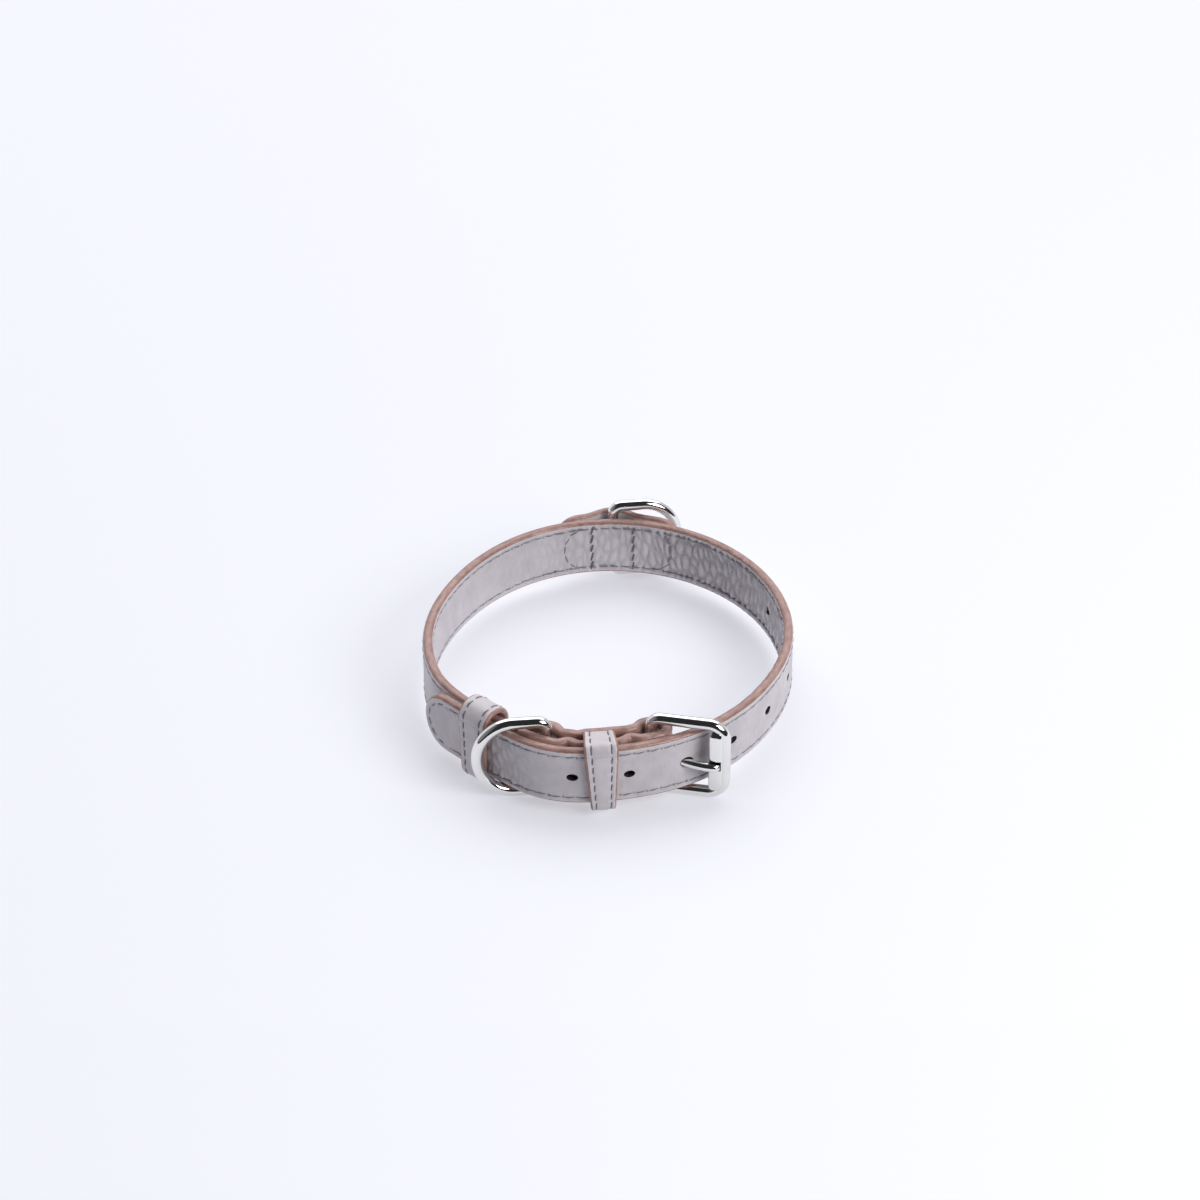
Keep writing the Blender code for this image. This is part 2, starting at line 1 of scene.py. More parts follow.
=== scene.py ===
# %% [markdown]
# # A small leather dog collar, buckled
#
# This lesson dresses a CAD model of a dog collar: one long strap of lilac-grey pebbled
# leather with painted edges, two leather keepers, a sewn patch, a cast buckle with its
# prong, and two D-rings. The CAD model fixes every place and size. The cells below only
# add what the eye sees and the solids leave out: rounded painted edges, grain, stitches,
# and metal that is round where the solids have facets.

# %% Load the frame
import json
import math

import bmesh
import bpy
import numpy as np
from mathutils import Matrix, Vector


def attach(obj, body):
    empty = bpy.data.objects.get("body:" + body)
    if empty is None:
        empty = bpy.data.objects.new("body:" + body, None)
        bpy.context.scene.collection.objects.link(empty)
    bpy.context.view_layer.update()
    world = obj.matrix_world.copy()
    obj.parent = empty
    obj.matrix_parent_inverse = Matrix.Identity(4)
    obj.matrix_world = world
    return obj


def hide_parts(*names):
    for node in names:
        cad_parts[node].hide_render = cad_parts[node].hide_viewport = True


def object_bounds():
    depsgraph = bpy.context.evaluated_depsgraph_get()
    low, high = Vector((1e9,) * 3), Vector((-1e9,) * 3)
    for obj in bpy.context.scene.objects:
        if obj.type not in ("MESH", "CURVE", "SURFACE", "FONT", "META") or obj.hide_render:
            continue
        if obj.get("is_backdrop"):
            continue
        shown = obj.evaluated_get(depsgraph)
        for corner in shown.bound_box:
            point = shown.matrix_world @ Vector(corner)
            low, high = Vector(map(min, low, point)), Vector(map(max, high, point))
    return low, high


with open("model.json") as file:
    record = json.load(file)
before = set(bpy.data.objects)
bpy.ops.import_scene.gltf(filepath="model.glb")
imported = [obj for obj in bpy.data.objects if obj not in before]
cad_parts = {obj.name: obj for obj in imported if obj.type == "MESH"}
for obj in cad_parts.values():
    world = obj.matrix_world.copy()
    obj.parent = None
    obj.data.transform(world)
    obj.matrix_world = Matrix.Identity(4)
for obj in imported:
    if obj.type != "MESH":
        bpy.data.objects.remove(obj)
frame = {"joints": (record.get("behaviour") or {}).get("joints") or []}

cad_box = [list(corner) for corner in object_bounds()]

# %% [markdown]
# ## Sizes
#
# The strap is flat leather that was cut, punched and then bent. So it is also made flat
# here: X runs along the strap, Y up its width and Z out of its face. The sizes are those
# of the CAD model, so every piece lands where its solid is.

# %% Sizes of the leather, in metres
MM = 0.001
STRAP_WIDTH = 16.0 * MM
STRAP_THICKNESS = 2.6 * MM
TIP_LENGTH = 8.0 * MM
LOOP_RADIUS = 46.5 * MM
LAYER_GAP = 0.3 * MM
HOLE_COUNT = 8
HOLE_PITCH = 15.2 * MM
TIP_HOLE_PITCH = 13.7 * MM
HOLE_LENGTH = 2.8 * MM
HOLE_WIDTH = 2.0 * MM
PRONG_HOLE = 2
KEEPER_THICKNESS = 1.5 * MM
KEEPER_WIDTH = 8.0 * MM
KEEPER_HANG = 0.3 * MM
PATCH_THICKNESS = 2.0 * MM
PATCH_LENGTH = 34.0 * MM
PATCH_SHIFT = -1.5 * MM
PATCH_END = 7.0 * MM
PATCH_SEAM_SPACING = 11.4 * MM
PATCH_SEAM_LIFT = 0.9 * MM

# %% Sizes of the metal, in metres and degrees
WIRE_DIAMETER = 2.9 * MM
FITTING_PLAY = 1.3 * MM
STRAP_REST = 0.5 * MM
D_RING_DEPTH = 17.2 * MM
D_RING_BOW_DEPTH = 9.2 * MM
D_RING_CORNER = 2.4 * MM
BUCKLE_LENGTH = 18.4 * MM
BUCKLE_HEEL_CORNER = 2.4 * MM
BUCKLE_FRONT_CORNER = 4.2 * MM
PLATE_WIDTH = 5.2 * MM
PLATE_THICKNESS = 4.2 * MM
PRONG_DIAMETER = 1.9 * MM
PRONG_LENGTH = 17.6 * MM
PRONG_TILT = 6.8
PRONG_BOW = 1.1 * MM
PRONG_DROOP = 0.8 * MM
NOTCH_DROOP_SHARE = 0.85
METAL_GAP = 0.3 * MM
FRONT_RING_HEADING = 186.0
BACK_RING_HEADING = 7.0
BUCKLE_HEADING = -11.4

# %% Places along the front, from the middle of the front keeper, and the plan of the loop
FRONT_KEEPER_ANGLE = -91.8
HEEL_BAR_PLACE = 13.9 * MM
RIGHT_SEAM_PLACE = 7.4 * MM
LEFT_SEAM_PLACE = -9.3 * MM
FRONT_RING_PLACE = -17.1 * MM
RETURN_END_PLACE = -24.4 * MM
SIDE_KEEPER_PLACE = -34.5 * MM
SEAM_DIP = 1.2 * MM
SEAM_DIP_REACH = 3.2 * MM
FOLD_SLACK = 1.2 * MM
SLOT_WIDTH = 3.0 * MM
SLOT_REACH = 4.4 * MM
BACK_RING_ANGLE = 89.2
LOOP_SECTIONS = (
    # angle in degrees, share of LOOP_RADIUS
    (-150.0, 1.140), (-136.0, 1.116), (-121.0, 1.141), (-106.0, 1.187), (-90.0, 1.150),
    (-74.0, 1.105), (-55.0, 1.053), (-35.0, 1.002), (-10.0, 0.975), (15.0, 0.970),
    (40.0, 0.990), (65.0, 1.022), (90.0, 1.036), (115.0, 1.016), (135.0, 0.983),
    (155.0, 0.966), (180.0, 0.993), (205.0, 1.044),
)
TIP_ANGLE = -149.5
STEP = 0.25 * MM

# %% Worked out from the sizes above
LAYER = STRAP_THICKNESS + LAYER_GAP
FACET_TURN = math.radians(22.5)
FITTING_INNER_HEIGHT = STRAP_WIDTH + FITTING_PLAY
FITTING_HALF = 0.5 * (FITTING_INNER_HEIGHT + WIRE_DIAMETER)
FITTING_MIDDLE = FITTING_HALF + 0.5 * WIRE_DIAMETER * math.cos(FACET_TURN)
FITTING_RISE = 0.5 * FITTING_PLAY - STRAP_REST
STRAP_MIDDLE = FITTING_MIDDLE - FITTING_RISE
BAR_LIFT = WIRE_DIAMETER + METAL_GAP
KEEPER_LIFT = KEEPER_THICKNESS + LAYER_GAP
BAR_OFFSET = LAYER + 0.5 * (LAYER + BAR_LIFT)
PRONG_HEADING = BUCKLE_HEADING - PRONG_TILT
BOW_PEAK = 4.0 / 27.0
print(f"strap's middle at {STRAP_MIDDLE / MM:.2f} mm,",
      f"metal's middle at {FITTING_MIDDLE / MM:.2f} mm")

# %% [markdown]
# ## The line that the strap follows
#
# Seen from above, the strap is a line: from the tip, under the buckle, round the neck,
# back along the front, and round the heel bar. A Route holds such a line and turns flat
# places into plan points. The same routes shaped the solids.

# %% Lines of points in a plane
def lengths_along(points):
    """Give the length from a line's start to each of its points."""
    return np.concatenate([[0.0], np.cumsum(np.hypot(*np.diff(points, axis=0).T))])


def read_line(points, lengths, places):
    """Read a line of points at lengths along it."""
    return np.stack([np.interp(places, lengths, points[:, i]) for i in (0, 1)], axis=-1)


def unit(vectors):
    """Scale vectors to length 1."""
    return vectors / np.linalg.norm(vectors, axis=-1, keepdims=True)


def right_of(vectors):
    """Turn plane vectors a quarter turn to the right."""
    return np.stack([vectors[..., 1], -vectors[..., 0]], axis=-1)

# %% Route: flat places to plan points
class Route:
    """A line in plan that leather follows, read by its length from the start."""

    def __init__(self, points):
        points = np.array(points)
        lengths = lengths_along(points)
        self.lengths = np.linspace(0.0, lengths[-1], max(8, int(lengths[-1] / STEP)))
        self.length = self.lengths[-1]
        self.points = read_line(points, lengths, self.lengths)
        slopes = np.gradient(self.points, axis=0)
        self.along = slopes / np.hypot(*slopes.T)[:, None]

    def heading(self, places):
        """Give the unit direction along the line at places."""
        return unit(read_line(self.along, self.lengths, places))

    def beside(self, places, offsets):
        """Give the plan points at places, moved outward by offsets."""
        places = np.asarray(places, float)
        along = self.heading(places)
        over = np.maximum(0.0, places - self.length) + np.minimum(0.0, places)
        point = read_line(self.points, self.lengths, places) + along * over[..., None]
        return point + right_of(along) * np.asarray(offsets, float)[..., None]

    def place_at_angle(self, angle):
        """Find the first length where the route passes a direction from the middle."""
        bearing = np.unwrap(np.arctan2(self.points[:, 1], self.points[:, 0]))
        return float(np.interp(math.radians(angle), bearing, self.lengths))

# %% Curves that the routes are drawn with
def spline(knots, values, places):
    """Read a natural cubic spline through the knots."""
    knots, values = np.array(knots), np.array(values)
    count, gaps = len(knots), np.diff(knots)
    system, right = np.eye(count), np.zeros(count)
    for i in range(1, count - 1):
        system[i, i - 1:i + 2] = gaps[i - 1], 2.0 * (gaps[i - 1] + gaps[i]), gaps[i]
        rise = (values[i + 1] - values[i]) / gaps[i] - (values[i] - values[i - 1]) / gaps[i - 1]
        right[i] = 6.0 * rise
    bends = np.linalg.solve(system, right)
    index = np.clip(np.searchsorted(knots, places) - 1, 0, count - 2)
    before, after, gap = places - knots[index], knots[index + 1] - places, gaps[index]
    low = values[index] / gap - bends[index] * gap / 6.0
    high = values[index + 1] / gap - bends[index + 1] * gap / 6.0
    curve = (bends[index] * after ** 3 + bends[index + 1] * before ** 3) / (6.0 * gap)
    return curve + low * after + high * before


def bridge(start, leave, end, arrive):
    """Give points on a smooth curve between two points with given directions."""
    reach = np.hypot(*(end - start))
    points = []
    for u in np.linspace(0.0, 1.0, 40)[1:-1]:
        weights = (2 * u**3 - 3 * u**2 + 1, u**3 - 2 * u**2 + u, 3 * u**2 - 2 * u**3, u**3 - u**2)
        point = weights[0] * start + weights[2] * end
        points.append(point + (weights[1] * leave + weights[3] * arrive) * reach)
    return points


def softened(rows, places, softness):
    """Read straight lines between rows of (place, value), with their corners softened."""
    knots, values = [row[0] for row in rows], [row[1] for row in rows]
    spread = np.linspace(-2.5, 2.5, 21)
    weights = np.exp(-0.5 * spread ** 2)
    shifted = [np.interp(places + softness * s, knots, values) for s in spread]
    return np.tensordot(weights / weights.sum(), np.array(shifted), axes=1)


def dip(places):
    """Depth by which the seams draw the folded layer inward from the outer one."""
    depth = np.zeros_like(places)
    for seam in (LEFT_SEAM_PLACE, RIGHT_SEAM_PLACE):
        near = np.clip(np.abs(places - seam) / SEAM_DIP_REACH, 0.0, 1.0)
        depth += SEAM_DIP * 0.5 * (1.0 + np.cos(math.pi * near))
    return depth

# %% Routes of the strap and of the patch
def outer_layer():
    """Route of the strap from its tip once round to the left side."""
    angles = np.arange(TIP_ANGLE, LOOP_SECTIONS[-1][0], 0.5)
    shares = spline([row[0] for row in LOOP_SECTIONS], [row[1] for row in LOOP_SECTIONS], angles)
    turns, radii = np.radians(angles), LOOP_RADIUS * shares
    return Route(np.stack([radii * np.cos(turns), radii * np.sin(turns)], axis=1))


def inner_offsets(places):
    """How far the inner layer's middle lies inward of the outer layer's, at places."""
    softness = 0.25 * STRAP_THICKNESS
    bar_top = 2.0 * LAYER + BAR_LIFT + 0.05 * STRAP_THICKNESS
    keeper_top = 2.0 * LAYER + KEEPER_LIFT
    crown = 0.55 * WIRE_DIAMETER
    shoulder = 0.5 * KEEPER_WIDTH + 2.0 * LAYER_GAP
    rows = (
        (SIDE_KEEPER_PLACE - KEEPER_WIDTH, LAYER),
        (SIDE_KEEPER_PLACE + 0.5 * KEEPER_WIDTH + 2.0 * softness, LAYER),
        (RETURN_END_PLACE - 2.0 * LAYER_GAP, 2.0 * LAYER + LAYER_GAP),
        (FRONT_RING_PLACE - crown, bar_top),
        (FRONT_RING_PLACE + crown, bar_top),
        (LEFT_SEAM_PLACE, 2.0 * LAYER),
        (-shoulder, keeper_top),
        (shoulder, keeper_top),
        (RIGHT_SEAM_PLACE, 2.0 * LAYER),
        (HEEL_BAR_PLACE - crown, bar_top),
        (HEEL_BAR_PLACE + FOLD_SLACK, 2.0 * LAYER + BAR_LIFT),
    )
    return softened(rows, places, softness) + dip(places)


def strap_route(outer, keeper_place):
    """Route of the whole strap: outer layer, neck, inner layer, fold and return layer."""
    fold_place = HEEL_BAR_PLACE + FOLD_SLACK
    inner_places = np.arange(SIDE_KEEPER_PLACE - 0.5 * KEEPER_WIDTH, fold_place, STEP)
    inner = outer.beside(keeper_place + inner_places, -inner_offsets(inner_places))
    arrive = (inner[1] - inner[0]) / np.hypot(*(inner[1] - inner[0]))
    link = bridge(outer.points[-1], outer.along[-1], inner[0], arrive)
    centre = outer.beside(keeper_place + fold_place, -BAR_OFFSET)
    spoke = centre - outer.beside(keeper_place + fold_place, -LAYER)
    fold = []
    for turn in np.linspace(0.0, math.pi, 33)[:-1]:
        spin = np.array([[math.cos(turn), math.sin(turn)], [-math.sin(turn), math.cos(turn)]])
        fold.append(centre + spin @ spoke)
    return_places = np.arange(fold_place, RETURN_END_PLACE, -STEP)
    back = outer.beside(keeper_place + return_places, -LAYER - dip(return_places))
    before_fold = [*outer.points, *link, *inner]
    return Route([*before_fold, *fold, *back]), Route(before_fold).length


def patch_route(strap, middle):
    """Route of the ring patch, which rises over the back ring's bar."""
    half, seam, crown = 0.5 * PATCH_LENGTH, 0.5 * PATCH_SEAM_SPACING, 0.55 * WIRE_DIAMETER
    flat = 0.5 * STRAP_THICKNESS + LAYER_GAP + 0.5 * PATCH_THICKNESS
    rows = (
        (PATCH_SHIFT - half, flat),
        (-seam - 1.4 * crown, flat + 0.5 * PATCH_SEAM_LIFT),
        (-seam, flat + PATCH_SEAM_LIFT),
        (-crown, flat + BAR_LIFT),
        (crown, flat + BAR_LIFT),
        (seam, flat + PATCH_SEAM_LIFT),
        (seam + 1.4 * crown, flat + 0.5 * PATCH_SEAM_LIFT),
        (PATCH_SHIFT + half, flat),
    )
    places = np.arange(PATCH_SHIFT - half, PATCH_SHIFT + half + STEP, STEP)
    return Route(strap.beside(middle + places, softened(rows, places, 0.25 * PATCH_THICKNESS)))

# %% Lay out the routes and find the bars
def prong_point(share):
    """Give a point on the prong's middle line, in its own frame, at a share of its length."""
    bow = share ** 2 * (1.0 - share) / BOW_PEAK
    return share * PRONG_LENGTH, -PRONG_BOW * bow, -PRONG_DROOP * share ** 2


def crossing(route, near):
    """Find where the prong passes through a route: the place, the heading and the drop."""
    turn, best = math.radians(PRONG_HEADING), (1.0, 0.0, 0.0)
    for share in np.linspace(0.2, 0.9, 281):
        x, y, _ = prong_point(share)
        spot = heel_bar + np.array([x * math.cos(turn) - y * math.sin(turn),
                                    x * math.sin(turn) + y * math.cos(turn)])
        reach = np.hypot(*(route.points - spot).T)
        index = int(np.argmin(np.where(route.lengths > near, reach, 1.0)))
        best = min(best, (float(reach[index]), float(route.lengths[index]), float(share)))
    x, y, z = prong_point(best[2])
    ahead = prong_point(best[2] + 0.01)
    return best[1], turn + math.atan2(ahead[1] - y, ahead[0] - x), z


outer = outer_layer()
keeper_place = outer.place_at_angle(FRONT_KEEPER_ANGLE)
strap, fold_start = strap_route(outer, keeper_place)
heel_bar = outer.beside(keeper_place + HEEL_BAR_PLACE, -BAR_OFFSET)
front_bar = outer.beside(keeper_place + FRONT_RING_PLACE, -BAR_OFFSET)
prong_place, prong_turn, prong_drop = crossing(outer, keeper_place + HEEL_BAR_PLACE)
back_ring_place = outer.place_at_angle(BACK_RING_ANGLE)
back_bar = outer.beside(back_ring_place, 0.5 * (STRAP_THICKNESS + WIRE_DIAMETER) + METAL_GAP)
patch = patch_route(strap, back_ring_place)

joints = {joint["name"]: joint["pos_m"] for joint in frame["joints"]}
middle_shift = np.array(joints["front_ring_swing"][:2]) - front_bar
print(f"strap {strap.length / MM:.1f} mm long,",
      f"front keeper {keeper_place / MM:.1f} mm from its tip")
print("from the neck's middle to the model's origin:", (middle_shift / MM).round(3), "mm")

# %% [markdown]
# ## The camera
#
# The photograph looks down on the collar at 34 degrees from 0.9 m away through a long
# lens, so its lines hardly converge. The picture is square, and the collar fills less
# than a third of it.

# %% Camera
CAMERA_HEIGHT_ANGLE = math.radians(34.0)
CAMERA_DISTANCE = 0.9
FOCAL_PIXELS = 3443.66
PICTURE_PIXELS = 1200.0
LOOK_AT = (-2.766 * MM, 21.854 * MM)


def linked(name, data):
    """Make an object and put it in the scene."""
    result = bpy.data.objects.new(name, data)
    bpy.context.scene.collection.objects.link(result)
    return result


camera_data = bpy.data.cameras.new("photo_camera")
camera_data.sensor_width = 36.0
camera_data.lens = camera_data.sensor_width * FOCAL_PIXELS / PICTURE_PIXELS
camera_data.clip_start = 0.05
camera = linked("photo_camera", camera_data)
look_at = Vector((*(LOOK_AT + middle_shift), STRAP_MIDDLE))
away = Vector((0.0, -math.cos(CAMERA_HEIGHT_ANGLE), math.sin(CAMERA_HEIGHT_ANGLE)))
camera.location = look_at + CAMERA_DISTANCE * away
camera.rotation_euler = (math.pi / 2 - CAMERA_HEIGHT_ANGLE, 0.0, 0.0)
bpy.context.scene.camera = camera
print(f"camera at {[round(c, 3) for c in camera.location]} m with a {camera_data.lens:.1f} mm lens")

# %% [markdown]
# ## Tools for materials
#
# Each material is a small network of nodes. One function adds a node with its settings
# and its inputs; an input is either a value or another node's output. Colours are written
# as sRGB hex, as a colour picker shows them, and turned to linear light once.

# %% Helpers for materials
def linear(hex_colour):
    """Turn an sRGB hex colour into Blender's linear values."""
    channels = [int(hex_colour[i:i + 2], 16) / 255 for i in (0, 2, 4)]
    return [c / 12.92 if c <= 0.04045 else ((c + 0.055) / 1.055) ** 2.4 for c in channels] + [1.0]


def add(tree, kind, settings=(), inputs=()):
    """Add a node, set it, and give its inputs values or links."""
    node = tree.nodes.new(kind)
    for key, value in dict(settings).items():
        setattr(node, key, value)
    for key, value in dict(inputs).items():
        if isinstance(value, bpy.types.NodeSocket):
            tree.links.new(value, node.inputs[key])
        else:
            node.inputs[key].default_value = value
    return node


def new_material(name, **sockets):
    """Make a material whose shader has these values on its own sockets."""
    result = bpy.data.materials.new(name)
    result.use_nodes = True
    shader = result.node_tree.nodes["Principled BSDF"]
    for key, value in sockets.items():
        shader.inputs[key.replace("_", " ")].default_value = value
    return result, result.node_tree, shader

# %% Short forms of the nodes that come again and again
def attribute(tree, name, output="Fac"):
    """Read what a mesh keeps at its points."""
    return add(tree, "ShaderNodeAttribute", {"attribute_name": name}).outputs[output]


def noise(tree, place, scale, detail):
    """Give the outputs of a noise texture."""
    inputs = {"Vector": place, "Scale": scale, "Detail": detail}
    return add(tree, "ShaderNodeTexNoise", {}, inputs).outputs


def object_noise(tree, size, detail):
    """Noise in the object's own space, with features of a size in metres."""
    place = add(tree, "ShaderNodeTexCoord").outputs["Object"]
    return noise(tree, place, 1.0 / size, detail)["Fac"]


def spread(tree, value, low, high, to_low=0.0, to_high=1.0, kind="LINEAR"):
    """Map low to high onto to_low to to_high."""
    return add(tree, "ShaderNodeMapRange", {"interpolation_type": kind},
               {"Value": value, "From Min": low, "From Max": high,
                "To Min": to_low, "To Max": to_high}).outputs["Result"]


def blend(tree, share, first, second):
    """Mix two colours, each an output or sRGB hex."""
    first, second = [linear(c) if isinstance(c, str) else c for c in (first, second)]
    return add(tree, "ShaderNodeMix", {"data_type": "RGBA"},
               {0: share, 6: first, 7: second}).outputs[2]


def maths(tree, operation, *values):
    """Do a sum with numbers."""
    return add(tree, "ShaderNodeMath", {"operation": operation}, dict(enumerate(values))).outputs[0]


def vector_maths(tree, operation, *values, output=0):
    """Do a sum with vectors."""
    return add(tree, "ShaderNodeVectorMath", {"operation": operation},
               dict(enumerate(values))).outputs[output]


def bump(tree, height, strength, distance, invert=False, **under):
    """Give the normal of a relief, laid over another relief's normal if there is one."""
    inputs = {"Height": height, "Strength": strength, "Distance": distance, **under}
    return add(tree, "ShaderNodeBump", {"invert": invert}, inputs).outputs["Normal"]


def link_inputs(tree, shader, **outputs):
    """Lead outputs to the shader's sockets."""
    for key, output in outputs.items():
        tree.links.new(output, shader.inputs[key.replace("_", " ")])

# %% [markdown]
# ## Leather
#
# The strap is chrome-tanned cowhide with a drummed, pebbled grain: the hide is tumbled
# until its surface folds into soft cells. Where the strap bends inward the cells are
# pressed into narrow upright ovals with dark creases between them; where it is stretched
# they nearly vanish. A finish coat gives it a soft, waxy shine. The cut edges are sanded
# round and painted with several coats of pink-brown edge paint, which ends on the face
# in a slightly uneven line.
#
# The pattern is drawn in the flat leather's own millimetres, kept in the attribute
# "flat", so cells run with the strap round every bend. "rim" is the distance in
# millimetres from the cut edge, "creasing" says how tightly the grain is pressed,
# "valley" how deep a point lies in a crease, which sets the painted shade there, and
# "seam" where a row of stitches runs.

# %% Leather material
PAINT_REACH = 0.72       # edge paint on the face, in millimetres
FINE_GRAIN = 0.9         # small pebbles between the pressed ones, in millimetres
NEEDLE_HOLE = 0.40       # radius in millimetres
STITCH_INSET = 2.0 * MM
STITCH_PITCH = 3.4 * MM
SMOOTH = "SMOOTHSTEP"


def leather_material(name, face, deep, crease, paint, shine):
    """Drummed leather with a painted edge, needle holes along it, and painted shade in its creases
    and holes.
    """
    result, tree, shader = new_material(name, IOR=1.5, Specular_IOR_Level=0.45)
    rim, valley, seam, creasing = [attribute(tree, key)
                                   for key in ("rim", "valley", "seam", "creasing")]
    mm = vector_maths(tree, "MULTIPLY", attribute(tree, "flat", "Vector"), (1000.0, 1000.0, 3000.0))

    # Fine grain: small soft pebbles, clearer where the hide is pressed
    wander = noise(tree, mm, 0.5, 2.0)
    bent = vector_maths(tree, "MULTIPLY_ADD", wander["Color"], (1.0, 1.0, 0.0), mm)
    small = add(tree, "ShaderNodeTexVoronoi", {"feature": "SMOOTH_F1"},
                {"Vector": bent, "Scale": 1.0 / FINE_GRAIN, "Smoothness": 0.7})
    pressed = spread(tree, creasing, 0.0, 1.0, 0.35, 1.6)
    grain = maths(tree, "MULTIPLY", small.outputs["Distance"], pressed)
    swollen = noise(tree, mm, 0.42, 2.0)["Fac"]

    # Colour: slow clouds from the dye, and painted shade in the creases
    clouds = spread(tree, noise(tree, mm, 0.16, 4.0)["Fac"], 0.35, 0.65)
    crease_shaded = blend(tree, valley, blend(tree, clouds, deep, face), crease)

    # Needle holes: small pits at every stitch end, with painted shade in them
    along = add(tree, "ShaderNodeSeparateXYZ", {}, {0: mm}).outputs["X"]
    beside = maths(tree, "PINGPONG", along, 0.5 * STITCH_PITCH / MM)
    inward = maths(tree, "SUBTRACT", rim, STITCH_INSET / MM)
    spot = add(tree, "ShaderNodeCombineXYZ", {}, {"X": beside, "Y": inward}).outputs[0]
    reach = vector_maths(tree, "LENGTH", spot, output="Value")
    open_pit = spread(tree, reach, 0.3 * NEEDLE_HOLE, 1.4 * NEEDLE_HOLE, 1.0, 0.0, SMOOTH)
    uneven = spread(tree, wander["Fac"], 0.38, 0.62)
    pit = maths(tree, "MULTIPLY", maths(tree, "MULTIPLY", open_pit, seam), uneven)
    sewn = blend(tree, pit, crease_shaded, "67636B")

    # Edge paint, with a slightly uneven border and a thin painted highlight beside it
    ragged = noise(tree, mm, 1.1, 2.0)["Fac"]
    border = maths(tree, "MULTIPLY_ADD", ragged, 0.30, rim)
    painted = spread(tree, border, PAINT_REACH + 0.10, PAINT_REACH + 0.24, 1.0, 0.0, SMOOTH)
    border_highlight = spread(tree, border, PAINT_REACH + 0.25, PAINT_REACH + 0.65, 0.4, 0.0, SMOOTH)
    coats = spread(tree, noise(tree, mm, 0.35, 4.0)["Fac"], 0.35, 0.65)
    colour = blend(tree, painted, blend(tree, border_highlight, sewn, "DDD8D8"),
                   blend(tree, coats, *paint))

    # Relief that the mesh is too coarse for: soft swellings, the fine grain and the needle holes
    relief = bump(tree, swollen, 0.5, 0.35 * MM)
    relief = bump(tree, grain, 0.5, 0.18 * MM, True, Normal=relief)
    relief = bump(tree, pit, 0.8, 0.25 * MM, True, Normal=relief)
    link_inputs(tree, shader, Base_Color=colour, Normal=relief,
                Roughness=spread(tree, painted, 0.0, 1.0, shine, 0.27))
    return result


# The third colour of each leather is the painted shade in its creases.
EDGE_PAINT = ("8F6E66", "AA867E")
pebbled = leather_material("pebbled_cowhide", "C7C1C5", "BAB4B8", "8A858A", EDGE_PAINT, 0.45)
smooth_hide = leather_material("smooth_cowhide", "C8C1C5", "BFB9BD", "8B868A", EDGE_PAINT, 0.42)
print("leathers:", pebbled.name, "and", smooth_hide.name)

# %% [markdown]
# ## Core of the leather
#
# A punched hole shows the raw middle of the hide: matt and fibrous. The hole is
# narrow and in shade, so its walls are painted nearly black: partly the core's own dark tone,
# partly painted shade.

# %% Leather core, with painted shade in the holes
hole_shade_core, tree, shader = new_material("leather_core_hole_shade", Roughness=0.9, IOR=1.45)
hole_shade_tone = blend(tree, object_noise(tree, 0.25 * MM, 3.0), "1E1A1C", "3A3234")
link_inputs(tree, shader, Base_Color=hole_shade_tone)

# %% [markdown]
# ## Cutting leather
#
# A strip is a grid of points on its two faces, joined round the edge. Points crowd
# towards the edge, where the face rolls over into the painted rim, and towards rounded
# ends. The height of the face depends only on the distance from the edge, so rounding
# and the stitch groove follow every outline. A Boolean could round the edges too, but
# it would leave no regular grid to carry the groove.

# %% Cut a flat strip
EDGE_STEPS = np.array([0.0, 0.1, 0.3, 0.62, 1.05, 1.4, 1.65, 1.85, 2.0, 2.15, 2.35, 2.65, 3.2,
                       3.8, 4.4, 5.0, 5.6, 6.2, 6.8, 7.4]) * MM
STRAP_ROUNDING, PATCH_ROUNDING, KEEPER_ROUNDING = 1.1 * MM, 0.9 * MM, 0.62 * MM
GROOVE_DEPTH = 0.14 * MM
PUCKER_RISE = 0.09 * MM


def edge_distance(x, y, length, half, start_reach, end_reach):
    """Distance from points in a strip to its outline; a reach of 0 is a straight end."""
    distance = half - np.abs(y)
    for along, reach in ((x, start_reach), (length - x, end_reach)):
        if reach == 0.0:
            distance = np.minimum(distance, along)
            continue
        u, v = np.clip((reach - along) / reach, 0.0, None), y / half
        share = np.hypot(u, v) + 1e-9
        slope = np.hypot(u / reach, v / half) / share + 1e-9
        rounded = (1.0 - share) / slope
        distance = np.where(u > 0.0, rounded, distance)
    return np.clip(distance, 0.0, None)


def end_stations(reach):
    """Places near one end: even steps round an ellipse, or close steps at a cut."""
    if reach == 0.0:
        return EDGE_STEPS[EDGE_STEPS < 1.5 * MM]
    return reach * (1.0 - np.cos(np.linspace(0.0, 0.5 * math.pi, 31)))


def grid_faces(stations, ring, closed=False, capped=False):
    """Faces between rings of points, round to the first ring again or capped at the ends."""
    index = np.arange(stations * ring).reshape(stations, ring)
    after = np.roll(index, -1, axis=0)
    faces = np.stack([index, np.roll(index, -1, axis=1), np.roll(after, -1, axis=1), after],
                     axis=-1)
    caps = [index[0][::-1].tolist(), index[-1].tolist()] if capped else []
    return (faces if closed else faces[:-1]).reshape(-1, 4).tolist() + caps


def skin(name, points, faces, weld=False):
    """Make a mesh whose faces all look outward."""
    mesh = bpy.data.meshes.new(name)
    mesh.from_pydata(points.reshape(-1, 3).tolist(), [], faces)
    shape = bmesh.new()
    shape.from_mesh(mesh)
    if weld:
        bmesh.ops.remove_doubles(shape, verts=shape.verts, dist=0.002 * MM)
    bmesh.ops.recalc_face_normals(shape, faces=shape.faces)
    shape.to_mesh(mesh)
    shape.free()
    return mesh


